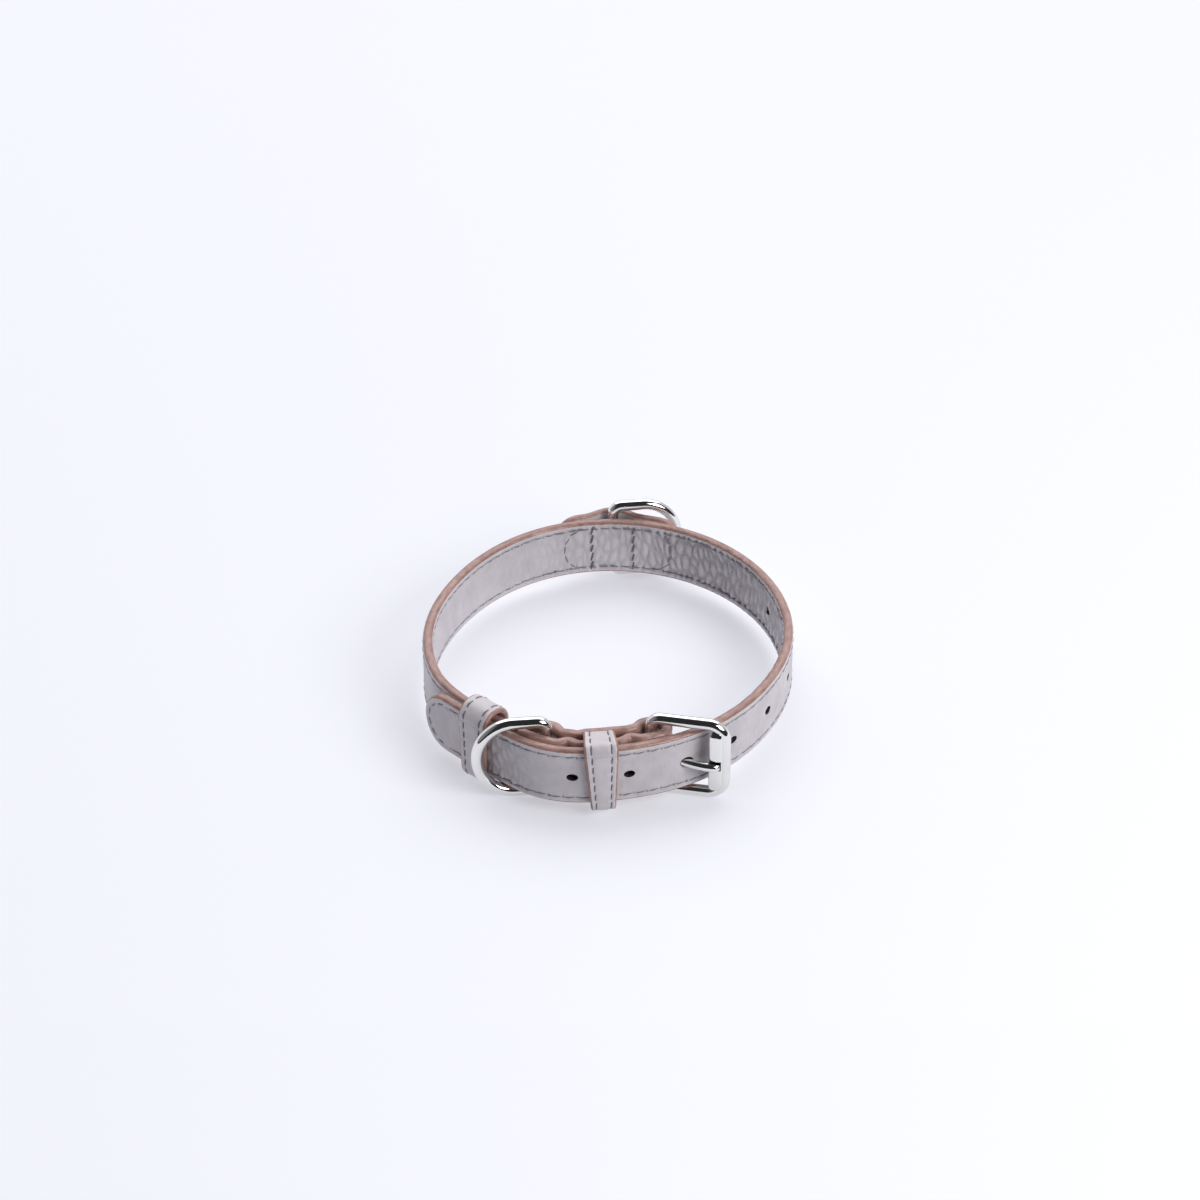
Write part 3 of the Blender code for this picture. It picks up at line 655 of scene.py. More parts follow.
def sheet_mesh(name, rows):
    """Join rings of points (stations, ring, 3) into a closed skin."""
    stations, ring = rows.shape[:2]
    faces = grid_faces(stations, ring)
    first, last = np.arange(ring), np.arange(ring) + (stations - 1) * ring
    for row, flip in ((first, False), (last, True)):
        for j in range(ring // 2 - 1):
            quad = [row[j], row[ring - 1 - j], row[ring - 2 - j], row[j + 1]]
            faces.append(quad[::-1] if flip else quad)
    return skin(name, rows, faces, weld=True)


def cut_strip(name, length, half, thickness, rounding, start_reach, end_reach, step):
    """Make a flat strip: its two faces as grids, rounded towards the outline."""
    start, end = end_stations(start_reach), length - end_stations(end_reach)[::-1]
    count = max(2, int((end[0] - start[-1]) / step))
    x = np.concatenate([start, np.linspace(start[-1], end[0], count + 1)[1:-1], end])
    inset = EDGE_STEPS[EDGE_STEPS < half]
    share = 1.0 - inset / half
    share = np.concatenate([share, [0.0], -share[::-1]])
    height = np.full_like(x, half)
    for along, reach in ((x, start_reach), (length - x, end_reach)):
        if reach > 0.0:
            u = np.clip((reach - along) / reach, 0.0, 1.0)
            height = np.minimum(height, half * np.sqrt(1.0 - u ** 2))
    grid_x = np.repeat(x[:, None], len(share), axis=1)
    grid_y = height[:, None] * share[None, :]
    distance = edge_distance(grid_x, grid_y, length, half, start_reach, end_reach)
    drop = rounding - np.clip(distance, 0.0, rounding)
    grid_z = 0.5 * thickness - rounding + np.sqrt(np.clip(rounding ** 2 - drop ** 2, 0.0, None))
    top = np.stack([grid_x, grid_y, grid_z], axis=-1)
    bottom = np.stack([grid_x, grid_y, -grid_z], axis=-1)[:, ::-1]
    return sheet_mesh(name, np.concatenate([top, bottom], axis=1))

# %% [markdown]
# ## Punching, sewing marks and bending
#
# The buckle holes, the prong's hole and the slot for the buckle are punched with exact
# Booleans while the strip is flat. The cutters bring the dark core material with them, painted
# nearly black as shade in the holes.
# Then the flat points get their attributes, the stitch groove, and their place on the
# route.

# %% Punch holes
def mesh_of(name, shape, *materials):
    """Turn a bmesh into a mesh with its materials."""
    mesh = bpy.data.meshes.new(name)
    shape.to_mesh(mesh)
    shape.free()
    for item in materials:
        mesh.materials.append(item)
    return mesh


def punch(name, size, matrix, material=hole_shade_core, oval=False):
    """Make a punch: an oval one from its radii and depth, or a square one from its sides."""
    shape = bmesh.new()
    if oval:
        bmesh.ops.create_cone(shape, cap_ends=True, segments=36, radius1=1.0, radius2=1.0,
                              depth=1.0)
    else:
        bmesh.ops.create_cube(shape, size=1.0)
    bmesh.ops.scale(shape, vec=size, verts=shape.verts)
    bmesh.ops.transform(shape, matrix=matrix, verts=shape.verts)
    return bpy.data.objects.new(name, mesh_of(name, shape, material))


def combined(mesh, tools, operation):
    """Cut or join a mesh with tools, drop the tools, and give the result."""
    body = linked("body", mesh)
    for tool in tools:
        bpy.context.scene.collection.objects.link(tool)
        step = body.modifiers.new(tool.name, "BOOLEAN")
        step.operation, step.solver, step.object = operation, "EXACT", tool
        step.material_mode = "TRANSFER"
    bpy.context.view_layer.update()
    graph = bpy.context.evaluated_depsgraph_get()
    result = bpy.data.meshes.new_from_object(body.evaluated_get(graph))
    for item in [body, *tools]:
        bpy.data.objects.remove(item)
    return result

# %% Read and write a mesh's points in one go
def points_of(mesh):
    """Give a mesh's points as rows."""
    values = np.zeros(3 * len(mesh.vertices), np.float32)
    mesh.vertices.foreach_get("co", values)
    return values.reshape(-1, 3).astype(float)


def set_points(mesh, points):
    """Write rows back as the mesh's points."""
    mesh.vertices.foreach_set("co", points.astype(np.float32).ravel())
    mesh.update()


def keep_attributes(mesh, **kept):
    """Keep one value or one vector at each point, for each name."""
    for name, values in kept.items():
        kind, field = ("FLOAT_VECTOR", "vector") if values.ndim == 2 else ("FLOAT", "value")
        data = mesh.attributes.new(name, kind, "POINT").data
        data.foreach_set(field, values.astype(np.float32).ravel())


def add_piece(name, mesh, materials, sharp_angle):
    """Link a finished mesh as a piece of the collar."""
    for item in materials:
        if item.name not in mesh.materials:
            mesh.materials.append(item)
    mesh.shade_smooth()
    mesh.set_sharp_from_angle(angle=math.radians(sharp_angle))
    result = linked(name, mesh)
    triangles = sum(len(face.vertices) - 2 for face in mesh.polygons)
    print(f"{name}: {len(mesh.vertices)} points, {triangles} triangles")
    return result


def stood(plan, height):
    """Turn plan points and heights into points of the model's frame."""
    return np.column_stack([plan + middle_shift, height])

# %% The strap, cut and punched flat
half_strap = 0.5 * STRAP_WIDTH
flat_strap = cut_strip("strap", strap.length, half_strap, STRAP_THICKNESS, STRAP_ROUNDING,
                       TIP_LENGTH, 0.0, 0.45 * MM)
flat_strap.materials.append(pebbled)
steps = np.arange(HOLE_COUNT) - PRONG_HOLE
hole_places = prong_place + steps * np.where(steps > 0, HOLE_PITCH, TIP_HOLE_PITCH)
hole_size = (0.5 * HOLE_LENGTH, 0.5 * HOLE_WIDTH, 3.0 * STRAP_THICKNESS)
tools = [punch(f"punch_{number + 1}", hole_size, Matrix.Translation((place, 0, 0)), oval=True)
         for number, place in enumerate(hole_places) if number != PRONG_HOLE]
along = strap.heading(prong_place)
slant = math.atan2(along[1], along[0]) - prong_turn
lean = Matrix.Rotation(0.5 * math.pi - slant, 4, "Y")
lean = Matrix.Translation((prong_place, prong_drop, 0)) @ lean
prong_room = 0.5 * PRONG_DIAMETER + 1.5 * METAL_GAP
tools.append(punch("prong_punch", (prong_room, prong_room, 6.0 * STRAP_THICKNESS), lean, oval=True))
slot_start = fold_start - FOLD_SLACK - SLOT_REACH
slot_end = fold_start + math.pi * 0.5 * (LAYER + BAR_LIFT) + FOLD_SLACK + SLOT_REACH
slot_middle = Matrix.Translation((0.5 * (slot_start + slot_end), 0, 0))
slot_size = (slot_end - slot_start, SLOT_WIDTH, 3.0 * STRAP_THICKNESS)
tools.append(punch("slot_punch", slot_size, slot_middle))
punched = combined(flat_strap, tools, "DIFFERENCE")
print(f"{len(tools)} holes and slots punched,",
      f"holes at {[round(p / MM, 1) for p in hole_places]} mm")

# %% How tightly the grain is pressed along the strap
# The inside of the right-hand bend is pressed hard, and the back on either side of the
# patch a little. The stretched outside is nearly smooth, except where it turns in by the
# front D-ring.
INNER_CREASING = ((-60.0, 0.6), (-35.0, 0.7), (0.0, 0.85), (35.0, 1.0), (55.0, 1.0),
                  (70.0, 0.9), (82.0, 0.5), (100.0, 0.5), (112.0, 0.25), (125.0, 0.1),
                  (180.0, 0.06), (205.0, 0.2))
OUTER_CREASING = ((-150.0, 0.04), (-132.0, 0.12), (-125.0, 0.6), (-117.0, 0.6), (-109.0, 0.06),
                  (-80.0, 0.06), (-50.0, 0.08), (-20.0, 0.15), (40.0, 0.12), (90.0, 0.1),
                  (150.0, 0.12), (205.0, 0.12))
PEBBLE_WIDTH, PEBBLE_HEIGHT = 2.0 * MM, 4.6 * MM
PEBBLE_RELIEF = 0.60 * MM


def scattered(i, j, seed):
    """Give the same number from 0 to 1 each time for a cell."""
    mixed = np.sin(i * 12.9898 + j * 78.233 + seed * 37.719) * 43758.5453
    return mixed - np.floor(mixed)


def pebbles(x, y, seed):
    """Give the depth of the creases between pressed pebbles: 0 on a pebble, 1 in a crease."""
    u = x / PEBBLE_WIDTH + 0.30 * np.sin(y / (2.6 * MM) + 1.3 * np.sin(x / (7.0 * MM)) + seed)
    v = y / PEBBLE_HEIGHT + 0.25 * np.sin(x / (3.1 * MM) + 2.0 * seed)
    i, j = np.floor(u), np.floor(v)
    nearest, second = np.full_like(u, 9.0), np.full_like(u, 9.0)
    for di in (-1, 0, 1):
        for dj in (-1, 0, 1):
            centre_u = i + di + 0.5 + 0.8 * (scattered(i + di, j + dj, seed) - 0.5)
            centre_v = j + dj + 0.5 + 0.8 * (scattered(i + di, j + dj, seed + 5.0) - 0.5)
            reach = np.hypot(u - centre_u, v - centre_v)
            second = np.minimum(second, np.maximum(nearest, reach))
            nearest = np.minimum(nearest, reach)
    share = np.clip((second - nearest) / 0.55, 0.0, 1.0)
    return 1.0 - share * share * (3.0 - 2.0 * share)


def creasing_at(places, faces):
    """Read how tightly the grain is pressed, on the inner or the outer face."""
    values = []
    for table in (INNER_CREASING, OUTER_CREASING):
        knots = [outer.place_at_angle(row[0]) for row in table]
        values.append(np.interp(places, knots, [row[1] for row in table]))
    return np.where(faces < 0.0, values[0], values[1])


def sewn_groove(distance, along, inset, pitch):
    """Depth of the stitch groove: a trough with dimples, and puckers pushed up beside it."""
    wave = np.cos(2.0 * math.pi * along / pitch)
    trough = np.exp(-((distance - inset) / (0.42 * MM)) ** 2)
    pucker = np.exp(-((np.abs(distance - inset) - 0.72 * MM) / (0.34 * MM)) ** 2)
    return GROOVE_DEPTH * trough * (0.6 + 0.4 * wave) - PUCKER_RISE * pucker * (0.5 - 0.5 * wave)

# %% Where the strap's seams run
row_height = half_strap - STITCH_INSET
patch_low = back_ring_place + PATCH_SHIFT - 0.5 * PATCH_LENGTH
patch_high = back_ring_place + PATCH_SHIFT + 0.5 * PATCH_LENGTH
outline_corner = PATCH_END - 0.5 * MM
OUTSIDE_STOP, INSIDE_START, INSIDE_STOP = 58.0 * MM, 5.5 * MM, 4.0 * MM
outside_runs = ((TIP_LENGTH, patch_low), (patch_high, fold_start - OUTSIDE_STOP))
inside_runs = ((keeper_place + HEEL_BAR_PLACE + INSIDE_START, patch_low + outline_corner),
               (patch_high - outline_corner, fold_start - INSIDE_STOP))


def seam_at(places, faces):
    """Say where a row of stitches runs, on the inner or the outer face."""
    found = np.zeros_like(places)
    for sign, runs in ((1.0, outside_runs), (-1.0, inside_runs)):
        for low, high in runs:
            found = np.where((faces * sign > 0.0) & (places > low) & (places < high), 1.0, found)
    return found


# %% The strap's face: groove, dimpled holes and creases, then bent round
HOLE_DIMPLE = 0.14 * MM
BETWEEN_LAYERS_SHADE = 0.3      # rim scale where a face looks at another layer: edge paint spread wider as painted shade and painted reflection
RETURN_VIEW = 45.0 * MM         # how far before the fold a face looks at the return layer

shape = bmesh.new()
shape.from_mesh(punched)
# Faces with many corners are split, so that bending keeps them sound
bmesh.ops.triangulate(shape, faces=[face for face in shape.faces if len(face.verts) > 4])
shape.to_mesh(punched)
shape.free()
flat = points_of(punched)
x, y, z = flat.T
side = np.sign(z)
rim = edge_distance(x, y, strap.length, half_strap, TIP_LENGTH, 0.0)
on_face = np.abs(z) > 0.5 * STRAP_THICKNESS - STRAP_ROUNDING - 0.01 * MM
depth = sewn_groove(rim, x, STITCH_INSET, STITCH_PITCH)
for place in hole_places:
    ring = np.hypot((x - place) / (0.5 * HOLE_LENGTH), y / (0.5 * HOLE_WIDTH)) - 1.0
    depth += HOLE_DIMPLE * np.exp(-(np.clip(ring, 0.0, None) / 0.45) ** 2)
creasing = creasing_at(x, z)
crease = pebbles(x, y, np.where(z > 0.0, 1.0, 2.0)) * np.clip(rim / (2.0 * MM), 0.0, 1.0)
lowered = z - side * np.where(on_face, depth + PEBBLE_RELIEF * creasing * crease, 0.0)
# Faces that look at another layer get the edge paint spread wide, as painted shade and painted
# reflection of the edges between the layers.
between_layers = (x > fold_start) | ((x > fold_start - RETURN_VIEW) & (z > 0.0))
shade_paint_scale = np.where(between_layers, BETWEEN_LAYERS_SHADE, 1.0)
# The strap keeps, at each point, how much painted shade its creases get.
keep_attributes(punched, flat=flat, rim=rim / MM * shade_paint_scale,
                seam=seam_at(x, z), valley=0.5 * creasing * crease, creasing=creasing)
set_points(punched, stood(strap.beside(x, lowered), STRAP_MIDDLE + y))
strap_piece = add_piece("strap_leather", punched, [pebbled, hole_shade_core], 40)
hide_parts("strap")
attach(strap_piece, "collar")

# %% [markdown]
# ## The patch
#
# The back D-ring's bar is held under a separate patch of the same hide with rounded
# ends. It is sewn all round and by two upright seams close to the bar, and it bulges
# over the bar between them.

# %% Patch
flat_patch = cut_strip("patch", patch.length, half_strap, PATCH_THICKNESS, PATCH_ROUNDING,
                       PATCH_END, PATCH_END, 0.4 * MM)
flat_patch.materials.append(smooth_hide)
flat = points_of(flat_patch)
x, y, z = flat.T
rim = edge_distance(x, y, patch.length, half_strap, PATCH_END, PATCH_END)
depth = sewn_groove(rim, x, STITCH_INSET, STITCH_PITCH)
seam_places = np.array([-0.5, 0.5]) * PATCH_SEAM_SPACING - PATCH_SHIFT
for seam in seam_places:
    beside_seam = np.abs(x - 0.5 * patch.length - seam)
    depth += sewn_groove(beside_seam, y, 0.0, STITCH_PITCH) * (rim > 1.5 * MM)
lowered = z - np.where(z > 0.0, depth, 0.0)
patch_crease = pebbles(x, y, 3.0) * np.clip(rim / (2.0 * MM), 0.0, 1.0)
# The patch keeps a little painted shade for its creases.
keep_attributes(flat_patch, flat=flat + np.array([0.0, 0.0, 0.05]), rim=rim / MM,
                valley=0.15 * patch_crease)
set_points(flat_patch, stood(patch.beside(x, lowered), STRAP_MIDDLE + y))
patch_piece = add_piece("patch_leather", flat_patch, [smooth_hide], 40)
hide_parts("ring_patch")
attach(patch_piece, "collar")

# %% [markdown]
# ## The keepers
#
# A keeper is a narrow strip sewn into a loop round two layers of the strap. The front
# one stands square. The one at the side is pulled over the strap's edge and stays domed
# there. Each is swept here as one loop: the section of the strip is carried along a
# rectangle with round corners.

# %% Keeper loops
def loop_line(low_z, high_z, low_y, high_y, radii, step=0.3 * MM):
    """Give even points on a rectangle with round corners, in (outward, height)."""
    corners = ((high_z, high_y, radii[0]), (low_z, high_y, radii[1]),
               (low_z, low_y, radii[2]), (high_z, low_y, radii[3]))
    points = []
    for quarter, (z, y, radius) in enumerate(corners):
        centre_z = z - math.copysign(radius, z - 0.5 * (low_z + high_z))
        centre_y = y - math.copysign(radius, y - 0.5 * (low_y + high_y))
        for i in range(13):
            turn = 0.5 * math.pi * (quarter + i / 12)
            points.append((centre_z + radius * math.cos(turn), centre_y + radius * math.sin(turn)))
    points = np.array(points + [points[0]])
    lengths = lengths_along(points)
    even = np.linspace(0.0, lengths[-1], int(lengths[-1] / step) + 1)[:-1]
    return read_line(points, lengths, even), even, lengths[-1]


def tangents(line):
    """Give the directions along a closed line."""
    return unit(np.roll(line, -1, axis=0) - np.roll(line, 1, axis=0))


def strip_section(half_width, thickness, rounding):
    """Give the section of a narrow strip: (across, out, distance from its edge)."""
    inset = np.array([0.0, 0.08, 0.22, 0.42, 0.7, 1.0, 1.2, 1.4, 1.6, 1.8, 2.05, 2.5, 3.2]) * MM
    across = np.concatenate([half_width - inset, [0.0], inset[::-1] - half_width])
    distance = half_width - np.abs(across)
    drop = rounding - np.clip(distance, 0.0, rounding)
    out = 0.5 * thickness - rounding + np.sqrt(np.clip(rounding ** 2 - drop ** 2, 0.0, None))
    return (np.concatenate([across, across[::-1]]), np.concatenate([out, -out[::-1]]),
            np.concatenate([distance, distance[::-1]]))


KEEPER_STITCH_INSET = 1.7 * MM
KEEPER_PITCH = 2.7 * MM


def keeper_x(across, height, place, taper):
    """Give the place along the strap of a keeper's points: its width and lean follow the height."""
    scale, flare, shift, lean = taper
    rise = height / half_strap
    return keeper_place + place + across * (scale + flare * rise) + shift + lean * rise


def make_keeper(name, node, place, dome, top_radius, taper):
    """Sweep a keeper's strip round two layers of the strap."""
    wall = 0.5 * KEEPER_THICKNESS
    low_z = -(LAYER + 0.5 * STRAP_THICKNESS + LAYER_GAP) - wall
    high_z = 0.5 * STRAP_THICKNESS + LAYER_GAP + wall
    low_y = -half_strap - KEEPER_HANG - wall
    high_y = half_strap + LAYER_GAP + wall + dome
    line, even, around = loop_line(low_z, high_z, low_y, high_y,
                                   (top_radius, top_radius, 1.55 * MM, 1.55 * MM))
    normal = right_of(tangents(line))
    across, out, distance = strip_section(0.5 * KEEPER_WIDTH, KEEPER_THICKNESS, KEEPER_ROUNDING)
    pitch = around / round(around / KEEPER_PITCH)
    depth = sewn_groove(distance[None, :], even[:, None], KEEPER_STITCH_INSET, pitch)
    raised = out[None, :] - np.where(out > 0.0, depth, 0.0)
    section = line[:, None, :] + normal[:, None, :] * raised[:, :, None]
    places = keeper_x(across[None, :], section[..., 1], place, taper)
    rows = np.stack([places, section[..., 1], section[..., 0]], axis=-1)
    mesh = skin(name, rows, grid_faces(*raised.shape, closed=True))
    flat = np.broadcast_arrays(even[:, None], across[None, :], raised)
    flat = np.stack(flat, axis=-1).reshape(-1, 3)
    keep_attributes(mesh, flat=flat + np.array([0.0, 0.0, 0.1 + place]),
                    rim=np.tile(distance / MM * 1.25, len(even)), valley=np.zeros(len(flat)))
    mesh.materials.append(smooth_hide)
    points = points_of(mesh)
    set_points(mesh, stood(outer.beside(points[:, 0], points[:, 2]), STRAP_MIDDLE + points[:, 1]))
    piece = add_piece(name, mesh, [smooth_hide], 40)
    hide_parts(node)
    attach(piece, "collar")
    return line, even, around, pitch


FRONT_TAPER = (0.885, 0.135, -0.72 * MM, -0.22 * MM)
SIDE_TAPER = (1.08, 0.07, -0.2 * MM, -0.1 * MM)
front_loop = make_keeper("front_keeper_leather", "front_keeper", 0.0, 0.0, 1.7 * MM, FRONT_TAPER)
side_loop = make_keeper("side_keeper_leather", "side_keeper", SIDE_KEEPER_PLACE, 1.4 * MM, 3.6 * MM,
                        SIDE_TAPER)

# %% [markdown]
# ## Thread
#
# The seams are sewn with bonded polyester thread, two plies twisted: slate grey on the
# keepers and the patch's upright seams, a lighter grey on the strap and round the patch. Each
# stitch is a short hump of thread that dives into the leather at both ends. A texture
# would do from afar, but real stitches catch the light and keep their shape up close.

# %% Thread materials
def thread_material(name, face, deep):
    """Bonded polyester thread: fine twisted filaments under a dull film."""
    result, tree, shader = new_material(name, Roughness=0.55, IOR=1.53, Sheen_Weight=0.15)
    tone = blend(tree, object_noise(tree, 0.6 * MM, 2.0), deep, face)
    link_inputs(tree, shader, Base_Color=tone)
    return result


slate_thread = thread_material("slate_polyester_thread", "73737E", "4C4C56")
grey_thread = thread_material("grey_polyester_thread", "8F8B95", "6B6873")

# %% Stitches as small humps of thread
THREAD_RADIUS = 0.19 * MM
PLIES = 2


def plied(radius, steps, count=10):
    """Give the directions round a twisted thread, and its radii at each step."""
    turns = 2.0 * math.pi * np.arange(count) / count
    return turns, radius * (1.0 + 0.16 * np.cos(PLIES * (turns - 0.7 * np.arange(steps)[:, None])))


def stitch_rings(centres, headings, lifts, radius):
    """Give tube points for stitches: centres and headings (n, k, 2) in the face, lifts (n, k)."""
    turns, radii = plied(radius, lifts.shape[1])
    left = -right_of(headings)[:, :, None, :]
    flat = centres[:, :, None, :] + left * (radii * np.cos(turns))[..., None]
    return flat, lifts[:, :, None] + radii * np.sin(turns)


def tube_faces(stitches, steps, count):
    """Faces of many open tubes whose ends are closed by caps."""
    index = np.arange(stitches * steps * count).reshape(stitches, steps, count)
    turned = np.roll(index, -1, axis=2)
    body = np.stack([index[:, :-1], turned[:, :-1], turned[:, 1:], index[:, 1:]], axis=-1)
    ends = [row[::-1].tolist() for row in index[:, 0]] + [row.tolist() for row in index[:, -1]]
    return body.reshape(-1, 4).tolist() + ends


def hump(steps, sink, rise):
    """Give how far each step of a stitch lies above the face."""
    u = np.linspace(0.0, 1.0, steps)
    arch = np.sqrt(np.sin(math.pi * u).clip(0.0))
    return u, rise - (rise + sink) * (1.0 - arch)


def stitch_row(starts, ends, slant, rise):
    """Give flat centres and headings for stitches from starts to ends, both (n, 2)."""
    steps = 9
    u, lift = hump(steps, 0.40 * MM, rise)
    run = ends - starts
    heading = unit(run)
    shift = -slant * (u[None, :, None] - 0.5) * right_of(heading)[:, None, :]
    centres = starts[:, None, :] + u[None, :, None] * run[:, None, :] + shift
    headings = np.repeat(heading[:, None, :], steps, axis=1)
    return centres, headings, np.repeat(lift[None, :], len(starts), axis=0)


def rows_along(low, high, pitch, length, height):
    """Start and end points of a straight row of stitches at one height."""
    number = np.arange(math.ceil(low / pitch), math.floor(high / pitch))
    starts = np.stack([number * pitch + 0.5 * (pitch - length), np.full(len(number), height)],
                      axis=1)
    ends = starts + np.array([length, 0.0])
    for points, seed in ((starts, 1.0), (ends, 2.0)):
        points[:, 0] += 0.25 * MM * (scattered(number, height, seed) - 0.5)
        points[:, 1] += 0.22 * MM * (scattered(number, height, seed + 2.0) - 0.5)
    return starts, ends

# %% Sew one row and make it a mesh
def sewn_piece(name, parts, material):
    """Join mapped stitch tubes [(points (n, k, c, 3))] into one piece."""
    points, faces, start = [], [], 0
    for rings in parts:
        n, k, c = rings.shape[:3]
        points.append(rings.reshape(-1, 3))
        faces += [[start + corner for corner in face] for face in tube_faces(n, k, c)]
        start += n * k * c
    piece = add_piece(name, skin(name, np.concatenate(points), faces), [material], 60)
    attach(piece, "collar")
    return piece


def laid_stitches(route, thickness, side, starts, ends, slant=0.2 * MM, radius=THREAD_RADIUS,
                  rise=-0.06 * MM):
    """Lay flat stitches on one face of a strip that follows a route."""
    centres, headings, lifts = stitch_row(starts, ends, slant, rise)
    spots, heights = stitch_rings(centres, headings, lifts, radius)
    offsets = side * (0.5 * thickness + heights)
    plan = route.beside(spots[..., 0].ravel(), offsets.ravel())
    points = stood(plan, STRAP_MIDDLE + spots[..., 1].ravel())
    return points.reshape(*spots.shape[:3], 3)

# %% Stitches of the strap
STITCH_LENGTH = 2.7 * MM

strap_parts = []
for side_sign, runs in ((1.0, outside_runs), (-1.0, inside_runs)):
    for low, high in runs:
        for height in (-row_height, row_height):
            starts, ends = rows_along(low, high, STITCH_PITCH, STITCH_LENGTH, height)
            if len(starts):
                strap_parts.append(laid_stitches(strap, STRAP_THICKNESS, side_sign, starts, ends))

# The row goes round the tip
turns = np.linspace(0.5 * math.pi, 1.5 * math.pi, 7)
arc = np.stack([TIP_LENGTH + row_height * np.cos(turns), row_height * np.sin(turns)], axis=1)
lead = (arc[1:] - arc[:-1]) * 0.09
strap_parts.append(laid_stitches(strap, STRAP_THICKNESS, 1.0, arc[:-1] + lead, arc[1:] - lead))
strap_stitches = sewn_piece("strap_stitches", strap_parts, grey_thread)

# %% Seams of the patch, on its own face and on the strap's inner face
def outline_row(half_length, reach, pitch, length):
    """Stitch ends along the patch's outline, inset from it, about its middle."""
    inset_half = half_length - STITCH_INSET
    straight = half_length - reach
    points = [(straight * s, row_height) for s in np.linspace(-1.0, 1.0, 60)]
    ellipse = inset_half - straight
    for t in np.linspace(0.5 * math.pi, -0.5 * math.pi, 60)[1:]:
        points.append((straight + ellipse * math.cos(t), row_height * math.sin(t)))
    points += [(-a, -b) for a, b in points[1:]]
    points = np.array(points)
    lengths = lengths_along(points)
    number = round(lengths[-1] / pitch)
    starts = np.arange(number) * lengths[-1] / number + 0.1 * pitch
    return [read_line(points, lengths, at % lengths[-1]) for at in (starts, starts + length)]


half_patch = 0.5 * PATCH_LENGTH
starts, ends = outline_row(half_patch, PATCH_END, 3.0 * MM, 2.5 * MM)
seam_y = np.linspace(row_height + 0.9 * MM, -row_height - 0.9 * MM, 6)
seam_rows = np.array([[(seam, a - 0.1 * MM), (seam, b + 0.1 * MM)] for seam in seam_places
                      for a, b in zip(seam_y[:-1], seam_y[1:])])
on_patch = np.array([0.5 * patch.length, 0.0])
on_strap = np.array([back_ring_place + PATCH_SHIFT, 0.0])
patch_parts, outline_parts = [], []
for route, thickness, side, origin in ((patch, PATCH_THICKNESS, 1.0, on_patch),
                                       (strap, STRAP_THICKNESS, -1.0, on_strap)):
    outline_parts.append(laid_stitches(route, thickness, side, starts + origin, ends + origin,
                                       0.25 * MM, 0.17 * MM, -0.03 * MM))
    patch_parts.append(laid_stitches(route, thickness, side, seam_rows[:, 0] + origin,
                                     seam_rows[:, 1] + origin, 0.55 * MM, 0.26 * MM, 0.05 * MM))
sewn_piece("patch_seam_stitches", patch_parts, slate_thread)
sewn_piece("patch_outline_stitches", outline_parts, grey_thread)

# %% Seams of the keepers
keeper_parts = []
for place, taper, (line, even, around, pitch) in (
        (0.0, FRONT_TAPER, front_loop), (SIDE_KEEPER_PLACE, SIDE_TAPER, side_loop)):
    number = round(around / pitch)
    closed, closed_even = np.vstack([line, line[:1]]), np.append(even, around)
    step = tangents(line)
    closed_step = np.vstack([step, step[:1]])
    turns, radii = plied(0.18 * MM, 9)
    for row in (-1.0, 1.0):
        u, lift = hump(9, 0.34 * MM, 0.0)
        along = (np.arange(number)[:, None] + 0.1 + 0.8 * u[None, :]) * pitch % around
        across = row * (0.5 * KEEPER_WIDTH - KEEPER_STITCH_INSET) + 0.15 * MM * (u[None, :] - 0.5)
        centre = read_line(closed, closed_even, along)
        normal = right_of(read_line(closed_step, closed_even, along))
        out = 0.5 * KEEPER_THICKNESS + lift[None, :, None] + radii * np.sin(turns)
        section = centre[:, :, None, :] + normal[:, :, None, :] * out[..., None]
        side_x = np.broadcast_to(across, along.shape)[:, :, None] + radii * np.cos(turns)
        flat_x = keeper_x(side_x, section[..., 1], place, taper).ravel()
        plan = outer.beside(flat_x, section[..., 0].ravel())
        points = stood(plan, STRAP_MIDDLE + section[..., 1].ravel())
        keeper_parts.append(points.reshape(*side_x.shape, 3))
sewn_piece("keeper_stitches", keeper_parts, slate_thread)

# %% [markdown]
# ## Metal
#
# Buckle, prong and rings are polished and chrome-plated: a mirror with a faint warm
# bloom, over zinc casting for the frame and steel wire for the rings. What the eye sees
# is the room: a dark band on each level bar where the dark end of the studio is
# mirrored, white along its edges, and white on every upright part, which mirrors the
# floor. So the metal needs smooth round forms and a room that is worth mirroring.

# %% Chrome material
def chrome_material(name, base, rough_low, rough_high):
    """Chrome plating with fine polishing haze."""
    result, tree, shader = new_material(name, Metallic=1.0)
    haze = object_noise(tree, 3.0 * MM, 4.0)
    ripple = object_noise(tree, 2.2 * MM, 1.0)
    link_inputs(tree, shader, Base_Color=blend(tree, haze, *base),
                Roughness=spread(tree, haze, 0.3, 0.7, rough_low, rough_high),
                Normal=bump(tree, ripple, 0.04, 0.05 * MM))
    return result


chrome = chrome_material("polished_chrome_plate", ("E2E1DE", "EDECEA"), 0.05, 0.10)

# %% Sweep a round section along a line in an upright plane
def even_loop(points, step=0.3 * MM):
    """Spread points evenly along a closed line in (x, z)."""
    points = np.array(points + points[:1])
    lengths = lengths_along(points)
    even = np.linspace(0.0, lengths[-1], int(lengths[-1] / step) + 1)[:-1]
    return read_line(points, lengths, even)


def arc_points(centre, radius_x, radius_z, start, end, count):
    """Give points on an arc, with angles in degrees."""
    turns = np.radians(np.linspace(start, end, count + 1))
    return [(centre[0] + radius_x * math.cos(t), centre[1] + radius_z * math.sin(t)) for t in turns]


